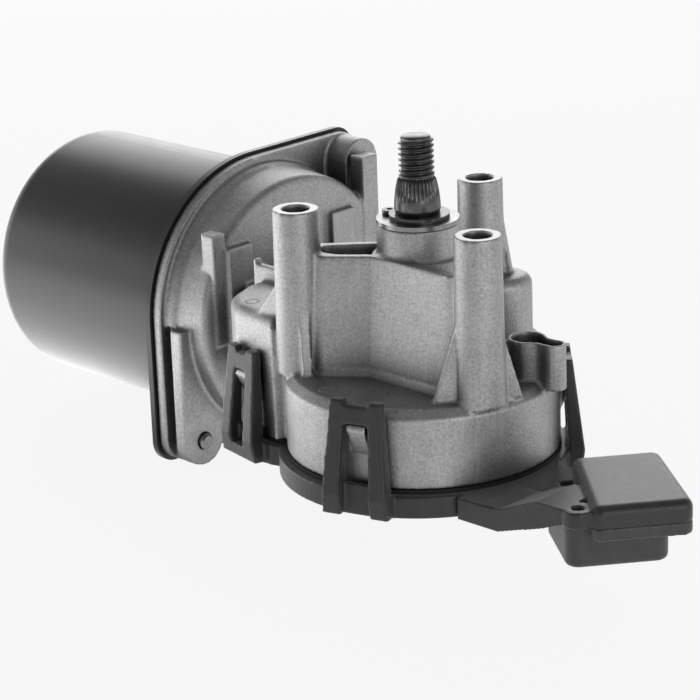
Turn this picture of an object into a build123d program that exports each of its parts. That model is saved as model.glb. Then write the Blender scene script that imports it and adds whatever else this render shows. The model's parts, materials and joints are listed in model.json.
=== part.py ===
from build123d import *
from math import acos, cos, pi, radians, sin, tan
import os

# A windscreen wiper motor: a permanent-magnet motor in a steel can drives a worm, and the worm
# turns a plastic wheel on the output shaft inside a die-cast gear housing.
# Millimetres. Z is the output shaft, pointing out of the housing, and the three mounting posts
# end at z = 0 around it. The motor lies along X, with its can towards -X.

os.makedirs("parts", exist_ok=True)

# Gear pair: a single-start worm above the rim of a helical wheel, which fills the round pot.
POT_R = 31.0
WALL = 2.4
WHEEL_CLEARANCE = 1.1
WHEEL_TEETH = 53
WORM_PITCH_D = 9.0
PRESSURE_ANGLE = 20.0
ADDENDUM = 1.0
DEDENDUM = 1.25
MODULE = 2 * (POT_R - WALL - WHEEL_CLEARANCE) / (WHEEL_TEETH + 2 * ADDENDUM)
THREAD_THINNING = 0.06
WHEEL_FACE = 8.0
WORM_TURNS = 4.5
WORM_START_TURNS = 3.25

# The crossing of the two axes, and the fits that recur.
AXIS_DROP = 44.0
RUNNING = 0.03
END_PLAY = 0.1
SEAT_GAP = 0.05

# Mounting posts.
POST_CIRCLE_D = 54.0
POST_COUNT = 3
POST_FIRST_ANGLE = 220.8
POST_D = 10.4
POST_DRAFT = 0.6
POST_HOLE_D = 6.2
POST_HOLE_DEPTH = 24.0

# Gear housing.
POT_FLOOR = -55.0
SHOULDER_DROP = 37.0
SHOULDER_EDGE = 2.0
BOSS_TOP = -3.35
BOSS_R = 9.25
WEB_DROP = 10.0
WEB_BOSS_R = 10.5
LEDGE_DROP = 26.0
NECK_DROP = 34.0

# Output shaft.
SHAFT_TOP = 16.1
SHAFT_R = 5.0
THREAD_R = 4.0
THREAD_LENGTH = 8.8
RELIEF_R = 3.3
RELIEF_LENGTH = 0.6
CONE_TOP_R = 4.2
CONE_BOTTOM_R = 5.15
CONE_LENGTH = 7.1
SHAFT_FOOT = -53.0
CIRCLIP_T = 1.0
CIRCLIP_R = 7.25
GROOVE_R = 4.6
WASHER_T = 1.0
BUSH_R = 7.0
BUSH_LENGTH = 10.0
SEAL_DEPTH = 2.2

# Motor.
CAN_R = 32.2
CAN_WALL = 1.8
CAN_END = -151.0
CAN_ROUND = 5.0
CAN_FLANGE_T = 1.6
FLANGE_BACK = -85.6
FLANGE_T = 2.9
FLANGE_HALF = 35.7
EAR_FRONT = -75.6
EAR_ROUND = 6.0
SCREW_OFFSET = FLANGE_HALF - 6.2
SCREW_R = 2.0
SCREW_HEAD_R = 3.6
BELL_R = 30.4
BELL_FRONT = -70.0
MOTOR_SHAFT_R = 4.0

WORM_Y = (MODULE * WHEEL_TEETH + WORM_PITCH_D) / 2
WHEEL_R = MODULE * WHEEL_TEETH / 2
CEILING = -SHOULDER_DROP - WALL
LEAD = pi * MODULE


def across(x):
    """The plane square to the motor axis at x; its own x runs along Y and its own y along Z."""
    return Plane(origin=(x, WORM_Y, -AXIS_DROP), x_dir=(0, 1, 0), z_dir=(1, 0, 0))


def level(z):
    """The plane square to the output shaft at height z."""
    return Plane.XY.offset(z)


def save(piece, label):
    """Names a finished piece and writes its file."""
    piece.label = label
    export_step(piece, "parts/" + label + ".step")
    print(label, round(piece.volume, 1))


def middle(pair):
    return (pair[0] + pair[1]) / 2


def span(pair):
    return pair[1] - pair[0]


MOTOR_AXIS = Axis((0, WORM_Y, -AXIS_DROP), (1, 0, 0))
ALONG = Plane(origin=(0, WORM_Y, -AXIS_DROP), x_dir=(1, 0, 0), z_dir=(0, -1, 0))


def post_centre(index):
    """The centre of one mounting post."""
    turn = radians(POST_FIRST_ANGLE + index * 360 / POST_COUNT)
    return (POST_CIRCLE_D / 2 * cos(turn), POST_CIRCLE_D / 2 * sin(turn))


LEFT_POST, FRONT_POST, BACK_POST = [post_centre(i) for i in range(POST_COUNT)]


# Worm wheel

def involute(angle):
    return tan(angle) - angle


def tooth_half_angle(radius):
    """Half the angle that a wheel tooth fills at a radius, for an involute flank."""
    base = WHEEL_R * cos(radians(PRESSURE_ANGLE))
    at_radius = involute(acos(base / radius))
    return pi / (2 * WHEEL_TEETH) + involute(radians(PRESSURE_ANGLE)) - at_radius


FLANK_STEPS = 2
ROOT_R = WHEEL_R - DEDENDUM * MODULE
TIP_R = WHEEL_R + ADDENDUM * MODULE
FLANK_RADII = [ROOT_R + (TIP_R - ROOT_R) * i / FLANK_STEPS for i in range(FLANK_STEPS + 1)]


def wheel_outline(twist):
    """The points of the toothed rim, with a gap on +Y turned by the twist."""
    points = []
    for tooth in range(WHEEL_TEETH):
        middle = pi / 2 + twist + (tooth + 0.5) * 2 * pi / WHEEL_TEETH
        for radius in FLANK_RADII:
            turn = middle - tooth_half_angle(radius)
            points.append((radius * cos(turn), radius * sin(turn)))
        for radius in reversed(FLANK_RADII):
            turn = middle + tooth_half_angle(radius)
            points.append((radius * cos(turn), radius * sin(turn)))
    return points


LEAD_SLOPE = MODULE / WORM_PITCH_D
END_TWIST = WHEEL_FACE / 2 * LEAD_SLOPE / WHEEL_R
WHEEL_BOTTOM = -AXIS_DROP - WHEEL_FACE / 2
WHEEL_TOP = -AXIS_DROP + WHEEL_FACE / 2
HUB_R = 9.5
HUB_WASHER_T = 0.5
HUB_TOP = CEILING - HUB_WASHER_T - 2 * SEAT_GAP
HUB_BOTTOM = -50.5
WHEEL_WEB_T = 3.0
RIM_T = 1.75
RIM_R = ROOT_R - RIM_T
SPOKE_COUNT = 8
SPOKE_T = 1.6
TRACK_T = 0.6

with BuildPart() as worm_wheel:
    with BuildSketch(level(WHEEL_BOTTOM)):
        Polygon(*wheel_outline(-END_TWIST), align=None)
    with BuildSketch(level(WHEEL_TOP)):
        Polygon(*wheel_outline(END_TWIST), align=None)
    loft(ruled=True)
    for floor, way in ((WHEEL_TOP, -1), (WHEEL_BOTTOM, 1)):
        with BuildSketch(level(floor)):
            Circle(RIM_R)
            Circle(HUB_R, mode=Mode.SUBTRACT)
        extrude(amount=way * (WHEEL_FACE - WHEEL_WEB_T) / 2, mode=Mode.SUBTRACT)
    with BuildSketch(level(WHEEL_BOTTOM + (WHEEL_FACE + WHEEL_WEB_T) / 2)):
        with PolarLocations((RIM_R + HUB_R) / 2, SPOKE_COUNT):
            Rectangle(RIM_R - HUB_R + 1, SPOKE_T)
    extrude(amount=(WHEEL_FACE - WHEEL_WEB_T) / 2 - 0.6)
    with BuildSketch(level(HUB_BOTTOM)):
        Circle(HUB_R)
    extrude(amount=HUB_TOP - HUB_BOTTOM)
    with BuildSketch(level(HUB_BOTTOM)):
        Circle(SHAFT_R)
    extrude(amount=2 * (HUB_TOP - HUB_BOTTOM), mode=Mode.SUBTRACT)
save(worm_wheel.part, "worm_wheel")

TRACK_TOP = -AXIS_DROP - WHEEL_WEB_T / 2
TRACK_OUTER_R = RIM_R - 2.0
TRACK_INNER_R = 11.5
TRACK_GAP_ANGLE = 28.0

with BuildPart() as contact_track:
    with BuildSketch(level(TRACK_TOP)):
        Circle(TRACK_OUTER_R)
        Circle(TRACK_INNER_R, mode=Mode.SUBTRACT)
        with BuildLine():
            reach = TRACK_OUTER_R + 2
            Polyline(
                (0, 0),
                (reach * cos(radians(TRACK_GAP_ANGLE)), reach * sin(radians(TRACK_GAP_ANGLE))),
                (reach, 0),
                close=True,
            )
        make_face(mode=Mode.SUBTRACT)
        Circle(TRACK_INNER_R + 3.5)
        Circle(TRACK_INNER_R, mode=Mode.SUBTRACT)
    extrude(amount=-TRACK_T)
save(contact_track.part, "contact_track")

# Output shaft

CIRCLIP_TOP = BOSS_TOP + WASHER_T + SEAT_GAP + CIRCLIP_T
THREAD_FOOT = SHAFT_TOP - THREAD_LENGTH
CONE_TOP = THREAD_FOOT - RELIEF_LENGTH
CONE_FOOT = CONE_TOP - CONE_LENGTH
THREAD_CHAMFER = 0.9
CONE_BULGE = 0.25

with BuildPart() as output_shaft:
    with BuildSketch(Plane.XZ):
        with BuildLine():
            Polyline(
                (0, SHAFT_FOOT),
                (SHAFT_R - 0.5, SHAFT_FOOT),
                (SHAFT_R, SHAFT_FOOT + 0.5),
                (SHAFT_R, CIRCLIP_TOP - CIRCLIP_T),
                (GROOVE_R, CIRCLIP_TOP - CIRCLIP_T),
                (GROOVE_R, CIRCLIP_TOP + SEAT_GAP),
                (SHAFT_R, CIRCLIP_TOP + SEAT_GAP),
                (CONE_BOTTOM_R, CONE_FOOT),
            )
            ThreePointArc(
                (CONE_BOTTOM_R, CONE_FOOT),
                ((CONE_BOTTOM_R + CONE_TOP_R) / 2 + CONE_BULGE, (CONE_FOOT + CONE_TOP) / 2),
                (CONE_TOP_R, CONE_TOP),
            )
            Polyline(
                (CONE_TOP_R, CONE_TOP),
                (RELIEF_R, CONE_TOP),
                (RELIEF_R, THREAD_FOOT),
                (THREAD_R, THREAD_FOOT),
                (THREAD_R, SHAFT_TOP - THREAD_CHAMFER),
                (THREAD_R - THREAD_CHAMFER, SHAFT_TOP),
                (0, SHAFT_TOP),
                (0, SHAFT_FOOT),
            )
        make_face()
    revolve(axis=Axis.Z)
save(output_shaft.part, "output_shaft")

# Circlip with two eyelets; its gap faces -X.

EYELET_R = 1.7
EYELET_HOLE_R = 0.75
EYELET_ANGLE = 17.0
EYELET_CIRCLE_R = 6.9

with BuildPart() as shaft_circlip:
    with BuildSketch(level(CIRCLIP_TOP - CIRCLIP_T)):
        with Locations((SHAFT_R * 0.1, 0)):
            Circle(CIRCLIP_R - SHAFT_R * 0.1)
        for side in (-1, 1):
            turn = pi + side * radians(EYELET_ANGLE)
            with Locations((EYELET_CIRCLE_R * cos(turn), EYELET_CIRCLE_R * sin(turn))):
                Circle(EYELET_R)
        Circle(GROOVE_R, mode=Mode.SUBTRACT)
        with Locations((-CIRCLIP_R, 0)):
            Rectangle(2 * CIRCLIP_R - GROOVE_R, 1.2, mode=Mode.SUBTRACT)
        for side in (-1, 1):
            turn = pi + side * radians(EYELET_ANGLE)
            with Locations((EYELET_CIRCLE_R * cos(turn), EYELET_CIRCLE_R * sin(turn))):
                Circle(EYELET_HOLE_R, mode=Mode.SUBTRACT)
    extrude(amount=CIRCLIP_T)
save(shaft_circlip.part, "shaft_circlip")


def ring_piece(bottom, height, outer, inner, label):
    """A plain ring around the output shaft."""
    with BuildPart() as ring:
        with BuildSketch(level(bottom)):
            Circle(outer)
            Circle(inner, mode=Mode.SUBTRACT)
        extrude(amount=height)
    save(ring.part, label)


ring_piece(BOSS_TOP, WASHER_T, BOSS_R, SHAFT_R + END_PLAY, "thrust_washer")
ring_piece(HUB_TOP + SEAT_GAP, HUB_WASHER_T, HUB_R - 1, SHAFT_R + END_PLAY, "hub_washer")
UPPER_BUSH_TOP = BOSS_TOP - SEAL_DEPTH
ring_piece(UPPER_BUSH_TOP - BUSH_LENGTH, BUSH_LENGTH, BUSH_R, SHAFT_R + RUNNING, "upper_bush")
ring_piece(CEILING, BUSH_LENGTH, BUSH_R, SHAFT_R + RUNNING, "lower_bush")

ring_piece(UPPER_BUSH_TOP, SEAL_DEPTH - 2 * SEAT_GAP, BUSH_R - SEAT_GAP, SHAFT_R + SEAT_GAP, "shaft_seal")

# Armature shaft and worm

SHAFT_REAR = CAN_END - 2.6
WORM_ROOT_R = WORM_PITCH_D / 2 - DEDENDUM * MODULE
WORM_TIP_R = WORM_PITCH_D / 2 + ADDENDUM * MODULE
WORM_START = -WORM_START_TURNS * LEAD
WORM_LENGTH = WORM_TURNS * LEAD
WORM_FOOT = WORM_START - LEAD
WORM_END = 5.3
THREAD_SINK = 0.3


def thread_half(radius):
    """Half the thread's thickness along the axis, at a radius."""
    lean = (radius - WORM_PITCH_D / 2) * tan(radians(PRESSURE_ANGLE))
    return LEAD / 4 - lean - THREAD_THINNING


with BuildPart() as armature_shaft:
    start = (WORM_START, WORM_Y, -AXIS_DROP)
    with BuildLine() as thread_path:
        Helix(LEAD, WORM_LENGTH, WORM_PITCH_D / 2, center=start, direction=(1, 0, 0))
    with BuildSketch(Plane(origin=start, x_dir=(0, 0, 1), z_dir=(0, 1, 0))):
        sunk = WORM_ROOT_R - THREAD_SINK
        with BuildLine():
            Polyline(
                (sunk, -thread_half(sunk)),
                (WORM_TIP_R, -thread_half(WORM_TIP_R)),
                (WORM_TIP_R, thread_half(WORM_TIP_R)),
                (sunk, thread_half(sunk)),
                close=True,
            )
        make_face()
    sweep(path=thread_path.line, is_frenet=True)
    with BuildSketch(across(WORM_FOOT)):
        Circle(WORM_ROOT_R)
    extrude(amount=WORM_END - WORM_FOOT)
    with BuildSketch(across(SHAFT_REAR)):
        Circle(MOTOR_SHAFT_R)
    extrude(amount=WORM_FOOT - SHAFT_REAR)
save(armature_shaft.part, "armature_shaft")

# Armature core, a stack of slotted laminations.

CORE_R = 21.6
CORE_BACK = -140.0
CORE_LENGTH = 36.0
SLOT_COUNT = 12
SLOT_FLOOR_R = 10.0
SLOT_MOUTH = 2.0
TOOTH_T = 3.2
SHOE_T = 2.4
SLOT_TOP_R = CORE_R - SHOE_T


def slot_points(shrink):
    """The corners of one winding slot on +X, a wedge between two teeth."""
    pitch = pi / SLOT_COUNT
    low = SLOT_FLOOR_R + shrink
    high = SLOT_TOP_R - shrink
    side = TOOTH_T / 2 + shrink
    low_half = low * tan(pitch) - side / cos(pitch)
    high_half = high * tan(pitch) - side / cos(pitch)
    return [(low, -low_half), (high, -high_half), (high, high_half), (low, low_half)]


with BuildPart() as armature_core:
    with BuildSketch(across(CORE_BACK)):
        Circle(CORE_R)
        Circle(MOTOR_SHAFT_R, mode=Mode.SUBTRACT)
        with PolarLocations(0, SLOT_COUNT):
            Polygon(*slot_points(0), align=None, mode=Mode.SUBTRACT)
        with PolarLocations(CORE_R, SLOT_COUNT):
            Rectangle(2 * SHOE_T + 1, SLOT_MOUTH, mode=Mode.SUBTRACT)
    extrude(amount=CORE_LENGTH)
save(armature_core.part, "armature_core")

# Winding: a bar of wire in every slot, and a domed coil head at each end of the core.

SLOT_LINER = 0.4
HEAD_LENGTH = 7.0
HEAD_R = SLOT_TOP_R - SLOT_LINER
HEAD_HOLE_R = 7.0
HEAD_LIFT = 0.3

with BuildPart() as armature_winding:
    with BuildSketch(across(CORE_BACK - HEAD_LIFT)):
        with PolarLocations(0, SLOT_COUNT):
            Polygon(*slot_points(SLOT_LINER), align=None)
    extrude(amount=CORE_LENGTH + 2 * HEAD_LIFT)
    with BuildSketch(ALONG):
        for inner_end, way in ((CORE_BACK, -1), (CORE_BACK + CORE_LENGTH, 1)):
            with BuildLine():
                near = inner_end + way * HEAD_LIFT
                far = near + way * HEAD_LENGTH
                bow = (HEAD_R + HEAD_HOLE_R) / 2
                Polyline((near, HEAD_R), (near, HEAD_HOLE_R), (far - way * 2, HEAD_HOLE_R),
                         (far, bow), (far - way * 3, HEAD_R), close=True)
            make_face()
    revolve(axis=MOTOR_AXIS)
save(armature_winding.part, "armature_winding")

# Commutator: copper bars with narrow gaps, and risers towards the winding.

COMMUTATOR_R = 10.0
COMMUTATOR_BACK = CORE_BACK + CORE_LENGTH + HEAD_LIFT + HEAD_LENGTH + 0.5
COMMUTATOR_LENGTH = 13.0
RISER_R = 11.5
RISER_LENGTH = 2.5
BAR_GAP = 0.7
BAR_DEPTH = 1.5

with BuildPart() as commutator:
    with BuildSketch(across(COMMUTATOR_BACK)):
        Circle(COMMUTATOR_R)
        Circle(MOTOR_SHAFT_R, mode=Mode.SUBTRACT)
    extrude(amount=COMMUTATOR_LENGTH)
    with BuildSketch(across(COMMUTATOR_BACK)):
        Circle(RISER_R)
        Circle(MOTOR_SHAFT_R, mode=Mode.SUBTRACT)
    extrude(amount=RISER_LENGTH)
    with BuildSketch(across(COMMUTATOR_BACK)):
        with PolarLocations(RISER_R, SLOT_COUNT):
            Rectangle(2 * (RISER_R - COMMUTATOR_R + BAR_DEPTH), BAR_GAP)
    extrude(amount=COMMUTATOR_LENGTH, mode=Mode.SUBTRACT)
save(commutator.part, "commutator")


def motor_ring(back, length, outer, inner, label):
    """A plain ring or disc around the motor axis."""
    with BuildPart() as ring:
        with BuildSketch(across(back)):
            Circle(outer)
            if inner:
                Circle(inner, mode=Mode.SUBTRACT)
        extrude(amount=length)
    save(ring.part, label)


POCKET_R = 8.0
POCKET_DEPTH = 4.0
POCKET_FLOOR_T = 1.0
REAR_BUSH_R = 6.0
REAR_BUSH_BACK = CAN_END - POCKET_DEPTH + POCKET_FLOOR_T
REAR_BUSH_LENGTH = CAN_END + CAN_WALL - REAR_BUSH_BACK
FRONT_BUSH_R = 8.0
FRONT_BUSH_BACK = -72.0
FRONT_BUSH_LENGTH = 10.0
RETAINER_T = 1.0
THRUST_R = 3.1

motor_ring(REAR_BUSH_BACK, REAR_BUSH_LENGTH, REAR_BUSH_R, MOTOR_SHAFT_R + RUNNING, "rear_bush")
motor_ring(REAR_BUSH_BACK + REAR_BUSH_LENGTH, RETAINER_T, POCKET_R + 3, MOTOR_SHAFT_R + 1,
           "bush_retainer")
motor_ring(FRONT_BUSH_BACK, FRONT_BUSH_LENGTH, FRONT_BUSH_R, MOTOR_SHAFT_R + RUNNING, "front_bush")
THRUST_LENGTH = 1.6
motor_ring(WORM_END + END_PLAY, THRUST_LENGTH, THRUST_R, 0, "thrust_pad")

# Motor can, drawn from sheet, with a flange of the same outline as the housing's.


def far_out(item):
    """True for an edge or corner of the flange that lies beyond its round part."""
    centre = item.center()
    return Vector(0, centre.Y - WORM_Y, centre.Z + AXIS_DROP).length > FLANGE_HALF * FAR_SHARE


CAN_FLANGE_PROUD = 0.8
FAR_SHARE = 1.19

with BuildPart() as motor_can:
    with BuildSketch(ALONG):
        with BuildLine():
            Polyline(
                (FLANGE_BACK, 0),
                (FLANGE_BACK, CAN_R),
                (CAN_END + CAN_ROUND, CAN_R),
            )
            RadiusArc((CAN_END + CAN_ROUND, CAN_R), (CAN_END, CAN_R - CAN_ROUND), -CAN_ROUND)
            Polyline(
                (CAN_END, CAN_R - CAN_ROUND),
                (CAN_END, POCKET_R),
                (CAN_END - POCKET_DEPTH, POCKET_R - 1),
                (CAN_END - POCKET_DEPTH, 0),
                (FLANGE_BACK, 0),
            )
        make_face()
    revolve(axis=MOTOR_AXIS)
    with BuildSketch(across(FLANGE_BACK - CAN_FLANGE_T)):
        half = FLANGE_HALF + CAN_FLANGE_PROUD
        Circle(half)
        with Locations((-half / 2, -half / 2), (half / 2, half / 2)):
            Rectangle(half, half)
    extrude(amount=CAN_FLANGE_T)
    fillet(motor_can.edges().filter_by(Axis.X).filter_by(far_out), EAR_ROUND)
    with BuildSketch(ALONG):
        inner = CAN_R - CAN_WALL
        inner_round = CAN_ROUND - CAN_WALL
        with BuildLine():
            Polyline(
                (FLANGE_BACK, 0),
                (FLANGE_BACK, inner),
                (CAN_END + CAN_ROUND, inner),
            )
            RadiusArc((CAN_END + CAN_ROUND, inner), (CAN_END + CAN_WALL, inner - inner_round),
                      -inner_round)
            Polyline(
                (CAN_END + CAN_WALL, inner - inner_round),
                (CAN_END + CAN_WALL, REAR_BUSH_R),
                (REAR_BUSH_BACK, REAR_BUSH_R),
                (REAR_BUSH_BACK, 0),
                (FLANGE_BACK, 0),
            )
        make_face()
    revolve(axis=MOTOR_AXIS, mode=Mode.SUBTRACT)
    with BuildSketch(across(FLANGE_BACK - CAN_FLANGE_T)):
        with Locations((-SCREW_OFFSET, -SCREW_OFFSET), (SCREW_OFFSET, SCREW_OFFSET)):
            Circle(SCREW_R + 0.3)
    extrude(amount=CAN_FLANGE_T, mode=Mode.SUBTRACT)
save(motor_can.part, "motor_can")

# Arc magnets, one above and one below the armature, and the spring clips between them.

MAGNET_T = 7.4
MAGNET_ANGLE = 124.0
MAGNET_LENGTH = 42.0
MAGNET_BACK = CORE_BACK - 3
MAGNET_OUTER_R = CAN_R - CAN_WALL
SECTOR_REACH = 60.0


def sector_points(middle_angle, spread):
    """The corners of a wedge from the axis, which cuts a ring down to an arc."""
    turns = [radians(middle_angle + share * spread / 2) for share in (-1, 0, 1)]
    reaches = (SECTOR_REACH, 1.5 * SECTOR_REACH, SECTOR_REACH)
    rim = [(reach * cos(turn), reach * sin(turn)) for reach, turn in zip(reaches, turns)]
    return [(0, 0)] + rim


for label, angle in (("upper_magnet", 90), ("lower_magnet", 270)):
    with BuildPart() as magnet:
        with BuildSketch(across(MAGNET_BACK)):
            Circle(MAGNET_OUTER_R)
            Circle(MAGNET_OUTER_R - MAGNET_T, mode=Mode.SUBTRACT)
            Polygon(*sector_points(angle, MAGNET_ANGLE), align=None, mode=Mode.INTERSECT)
        extrude(amount=MAGNET_LENGTH)
    save(magnet.part, label)

SPRING_T = 0.8
SPRING_WIDTH = 30.0
SPRING_SPREAD = 180.0 - MAGNET_ANGLE

with BuildPart() as magnet_springs:
    for angle in (0, 180):
        with BuildSketch(across(MAGNET_BACK + (MAGNET_LENGTH - SPRING_WIDTH) / 2)):
            Circle(MAGNET_OUTER_R)
            Circle(MAGNET_OUTER_R - SPRING_T, mode=Mode.SUBTRACT)
            Polygon(*sector_points(angle, SPRING_SPREAD), align=None, mode=Mode.INTERSECT)
        extrude(amount=SPRING_WIDTH)
save(magnet_springs.part, "magnet_springs")

# Gear housing, one die casting: pot, neck, worm tunnel, bell and flange, shaft boss, posts, webs.

NECK_END = -71.0
NEAR_SIDE = -18.4
FAR_SIDE = 40.0
LEDGE_END = -50.5
COVERED_END = -49.6
NECK_START = -20.0
NECK_NEAR_Y = 13.0
LEDGE_START = -24.5
LEDGE_OUTLINE = (
    (LEDGE_START, -15.0), (-26.0, -21.4), (-41.0, NEAR_SIDE), (-47.5, -13.5), (LEDGE_END, -6.0),
    (LEDGE_END, 12.0), (LEDGE_START, 12.0),
)
NECK_OUTLINE = (
    (NECK_START, -15.0), (-26.0, -21.4), (-41.0, NEAR_SIDE), (-47.5, -13.5), (LEDGE_END, -6.0),
    (NECK_END + 2.0, NECK_NEAR_Y), (NECK_END, NECK_NEAR_Y), (NECK_END, FAR_SIDE), (NECK_START + 8.0, FAR_SIDE), (NECK_START + 8.0, 12.0), (NECK_START, 12.0),
)
LEDGE_HOLLOW = (
    (-28.4, -18.2), (-39.8, -16.0), (-45.0, -12.2), (-47.8, -5.0), (-47.8, 9.0), (-28.4, 9.0),
)
NECK_HOLLOW = (
    (-26.0, -16.0), (-27.5, -18.4), (-40.0, -16.0), (-46.5, -10.6), (COVERED_END, -8.0),
    (COVERED_END, 20.5), (-26.0, 20.5),
)
LEDGE_ROUND = 3.0
TUNNEL_R = 8.6
TUNNEL_NOSE_R = 5.6
TUNNEL_TAPER = 2.0
TUNNEL_END = 8.5
TUNNEL_SEAT_R = 10.6
TUNNEL_SEAT_END = -60.0
TUNNEL_BORE_R = WORM_TIP_R + 0.7
CORE_POCKET_PLACE = (-58.0, 13.6)
CORE_POCKET_LENGTH = 9.0
CORE_POCKET_WIDTH = 8.4
CORE_POCKET_DEPTH = 18.0
BELL_BASE_R = 34.0
BELL_ROUND = 2.0
BELL_WALL = 2.4
BELL_HOLLOW_R = 27.0
FLANGE_FRONT = FLANGE_BACK + FLANGE_T
EAR_GROOVE_T = 3.2
EAR_WIDTH = 12.5
EAR_BOSS_R = 5.8
EAR_GROOVE_DEPTH = 3.5
HUMP_R = 7.4
HUMP_DROP = 22.6
HUMP_CENTRE = (-1.2, 28.5)
HUMP_ROUND = 2.5
SLAB_BACK = -74.0
SLAB_FRONT = BELL_FRONT + 0.5
PAD_FRONT = SLAB_FRONT + 1.25
# Place of a rib or pad from the motor axis, its width and its height.
SLABS = ((-28.95, 24.0, 4.15, 28.0), (23.6, 32.4, 5.4, 48.0))
PADS = ((-24.8, 20.0, 7.8, 26.0), (11.0, 21.0, 8.0, 14.0))
RIB_DROP = 22.8
RIB_START = -52.6
RIB_END = -10.0
RIB_T = 2.0
PEG_HEIGHT = 1.2

with BuildPart() as ledge:
    with BuildSketch(level(POT_FLOOR)):
        Polygon(*LEDGE_OUTLINE, align=None)
    extrude(amount=-LEDGE_DROP - POT_FLOOR)
    fillet(ledge.edges().filter_by(Axis.Z).group_by(Axis.X)[0], LEDGE_ROUND)
    fillet(ledge.edges().filter_by(Axis.Z).sort_by(Axis.Y)[1], 2 * LEDGE_ROUND)
    fillet(ledge.faces().sort_by(Axis.Z)[-1].edges(), LEDGE_ROUND)

with BuildPart() as hump:
    with BuildSketch(level(-SHOULDER_DROP - WALL)):
        with Locations(HUMP_CENTRE):
            Circle(HUMP_R)
    extrude(amount=SHOULDER_DROP + WALL - HUMP_DROP)
    fillet(hump.edges().group_by(Axis.Z)[-1], HUMP_ROUND)

# Webs from the left post round the shaft boss to the front post, and back from the left post.
WEB_TAPER = 4.0
WEB_FOOT = 1.3
WEB_FOOT_SLOPE = 40.0
WEB_FOOT_REACH = (SHOULDER_DROP - WEB_DROP - WEB_FOOT) * tan(radians(WEB_TAPER))
FRONT_WEB = (
    (LEFT_POST[0], LEFT_POST[1] - 1.0), (-13.0, -16.9), (-4.6, -WEB_BOSS_R), (4.0, -WEB_BOSS_R),
    (18.0, -10.8), (FRONT_POST[0], FRONT_POST[1] - 1.0), (FRONT_POST[0], FRONT_POST[1] + 1.6),
    (18.0, -8.0), (4.0, -7.4), (-4.0, -7.4), (-12.0, -13.6), (LEFT_POST[0], LEFT_POST[1] + 2.0),
)
BACK_WEB = (
    (LEFT_POST[0] - 1.0, LEFT_POST[1]), (LEFT_POST[0] + 1.4, LEFT_POST[1]), (-18.6, -10.4),
    (-8.0, 0.0), (-9.0, 2.0), (-21.0, -9.4),
)
REAR_WEB = (
    (BACK_POST[0] - 1.3, BACK_POST[1]), (BACK_POST[0] + 1.3, BACK_POST[1]), (1.3, 8.0), (-1.3, 8.0),
)

# Stiffening gussets: post, way it points, reach at its foot, and heights of its top and foot.
GUSSET_T = 2.4
POT_FOOT = -SHOULDER_DROP - 0.5
GUSSETS = (
    (FRONT_POST, 230.0, 10.6, -18.4, POT_FOOT),
    (FRONT_POST, 62.0, 9.4, -22.0, POT_FOOT),
    (LEFT_POST, 179.5, 12.9, -16.5, -LEDGE_DROP - 0.5),
    (LEFT_POST, 325.0, 7.8, -19.5, POT_FOOT),
    (BACK_POST, 35.0, 9.6, -8.0, POT_FOOT),
)

# Keyhole-shaped breather boss on the shoulder.
BREATHER_TOP = -28.0
BREATHER_FOOT = -38.5
BREATHER_WALL = 0.8
BREATHER_BIG = (23.4, 9.2)
BREATHER_BIG_R = 4.4
BREATHER_SMALL = (30.8, 9.6)
BREATHER_SMALL_R = 2.6
BREATHER_WAIST = 2.3
BREATHER_WAIST_PLACE = 0.66
BREATHER_FLOOR = BREATHER_TOP - 8.0


def keyhole(shrink):
    """Points round the breather boss: a wide end, a waist and a narrow end."""
    points = []
    waist = BREATHER_BIG[0] + BREATHER_WAIST_PLACE * (BREATHER_SMALL[0] - BREATHER_BIG[0])
    for centre, radius, turns, side in (
        (BREATHER_BIG, BREATHER_BIG_R, (65, 110, 155, 205, 250, 295), -1),
        (BREATHER_SMALL, BREATHER_SMALL_R, (-70, -25, 25, 70), 1),
    ):
        for turn in turns:
            reach = radius - shrink
            points.append((centre[0] + reach * cos(radians(turn)), centre[1] + reach * sin(radians(turn))))
        points.append((waist, middle((BREATHER_BIG[1], BREATHER_SMALL[1])) + side * (BREATHER_WAIST - shrink)))
    return points


# Catches for the cover's spring clips.
CLIP_BAR = 3.2
CLIP_OPENING_TOP = -39.8
CLIP_OPENING_FOOT = -53.6
CATCH_GAP = 0.2
CATCH_WIDTH = 4.6
CATCH_TOP = CLIP_OPENING_TOP - CATCH_GAP
CATCH_FOOT = -47.0
CATCH_REACH = 3.0


def on_pot(angle):
    """A clip's place on the round wall of the pot."""
    return (POT_R * cos(radians(angle)), POT_R * sin(radians(angle)), angle)


# Place of a clip in plan and the way it faces, its widths above and below, and its foot bar.
CLIPS = (
    (on_pot(-72.8), 12.4, 16.0, 0.0),
    (on_pot(43.0), 12.4, 16.0, 0.0),
    ((-35.3, -19.54, -101.3), 10.6, 13.8, 3.4),
    ((-33.0, FAR_SIDE, 90.0), 12.4, 16.0, 3.4),
)


def facing(place):
    """A plane on a clip's wall: its x runs out of the wall, and its y straight up."""
    turn = radians(place[2])
    side = (-sin(turn), cos(turn), 0)
    outward = (cos(turn), sin(turn), 0)
    return Plane(origin=(place[0], place[1], 0), x_dir=outward, z_dir=(-side[0], -side[1], 0))


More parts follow.
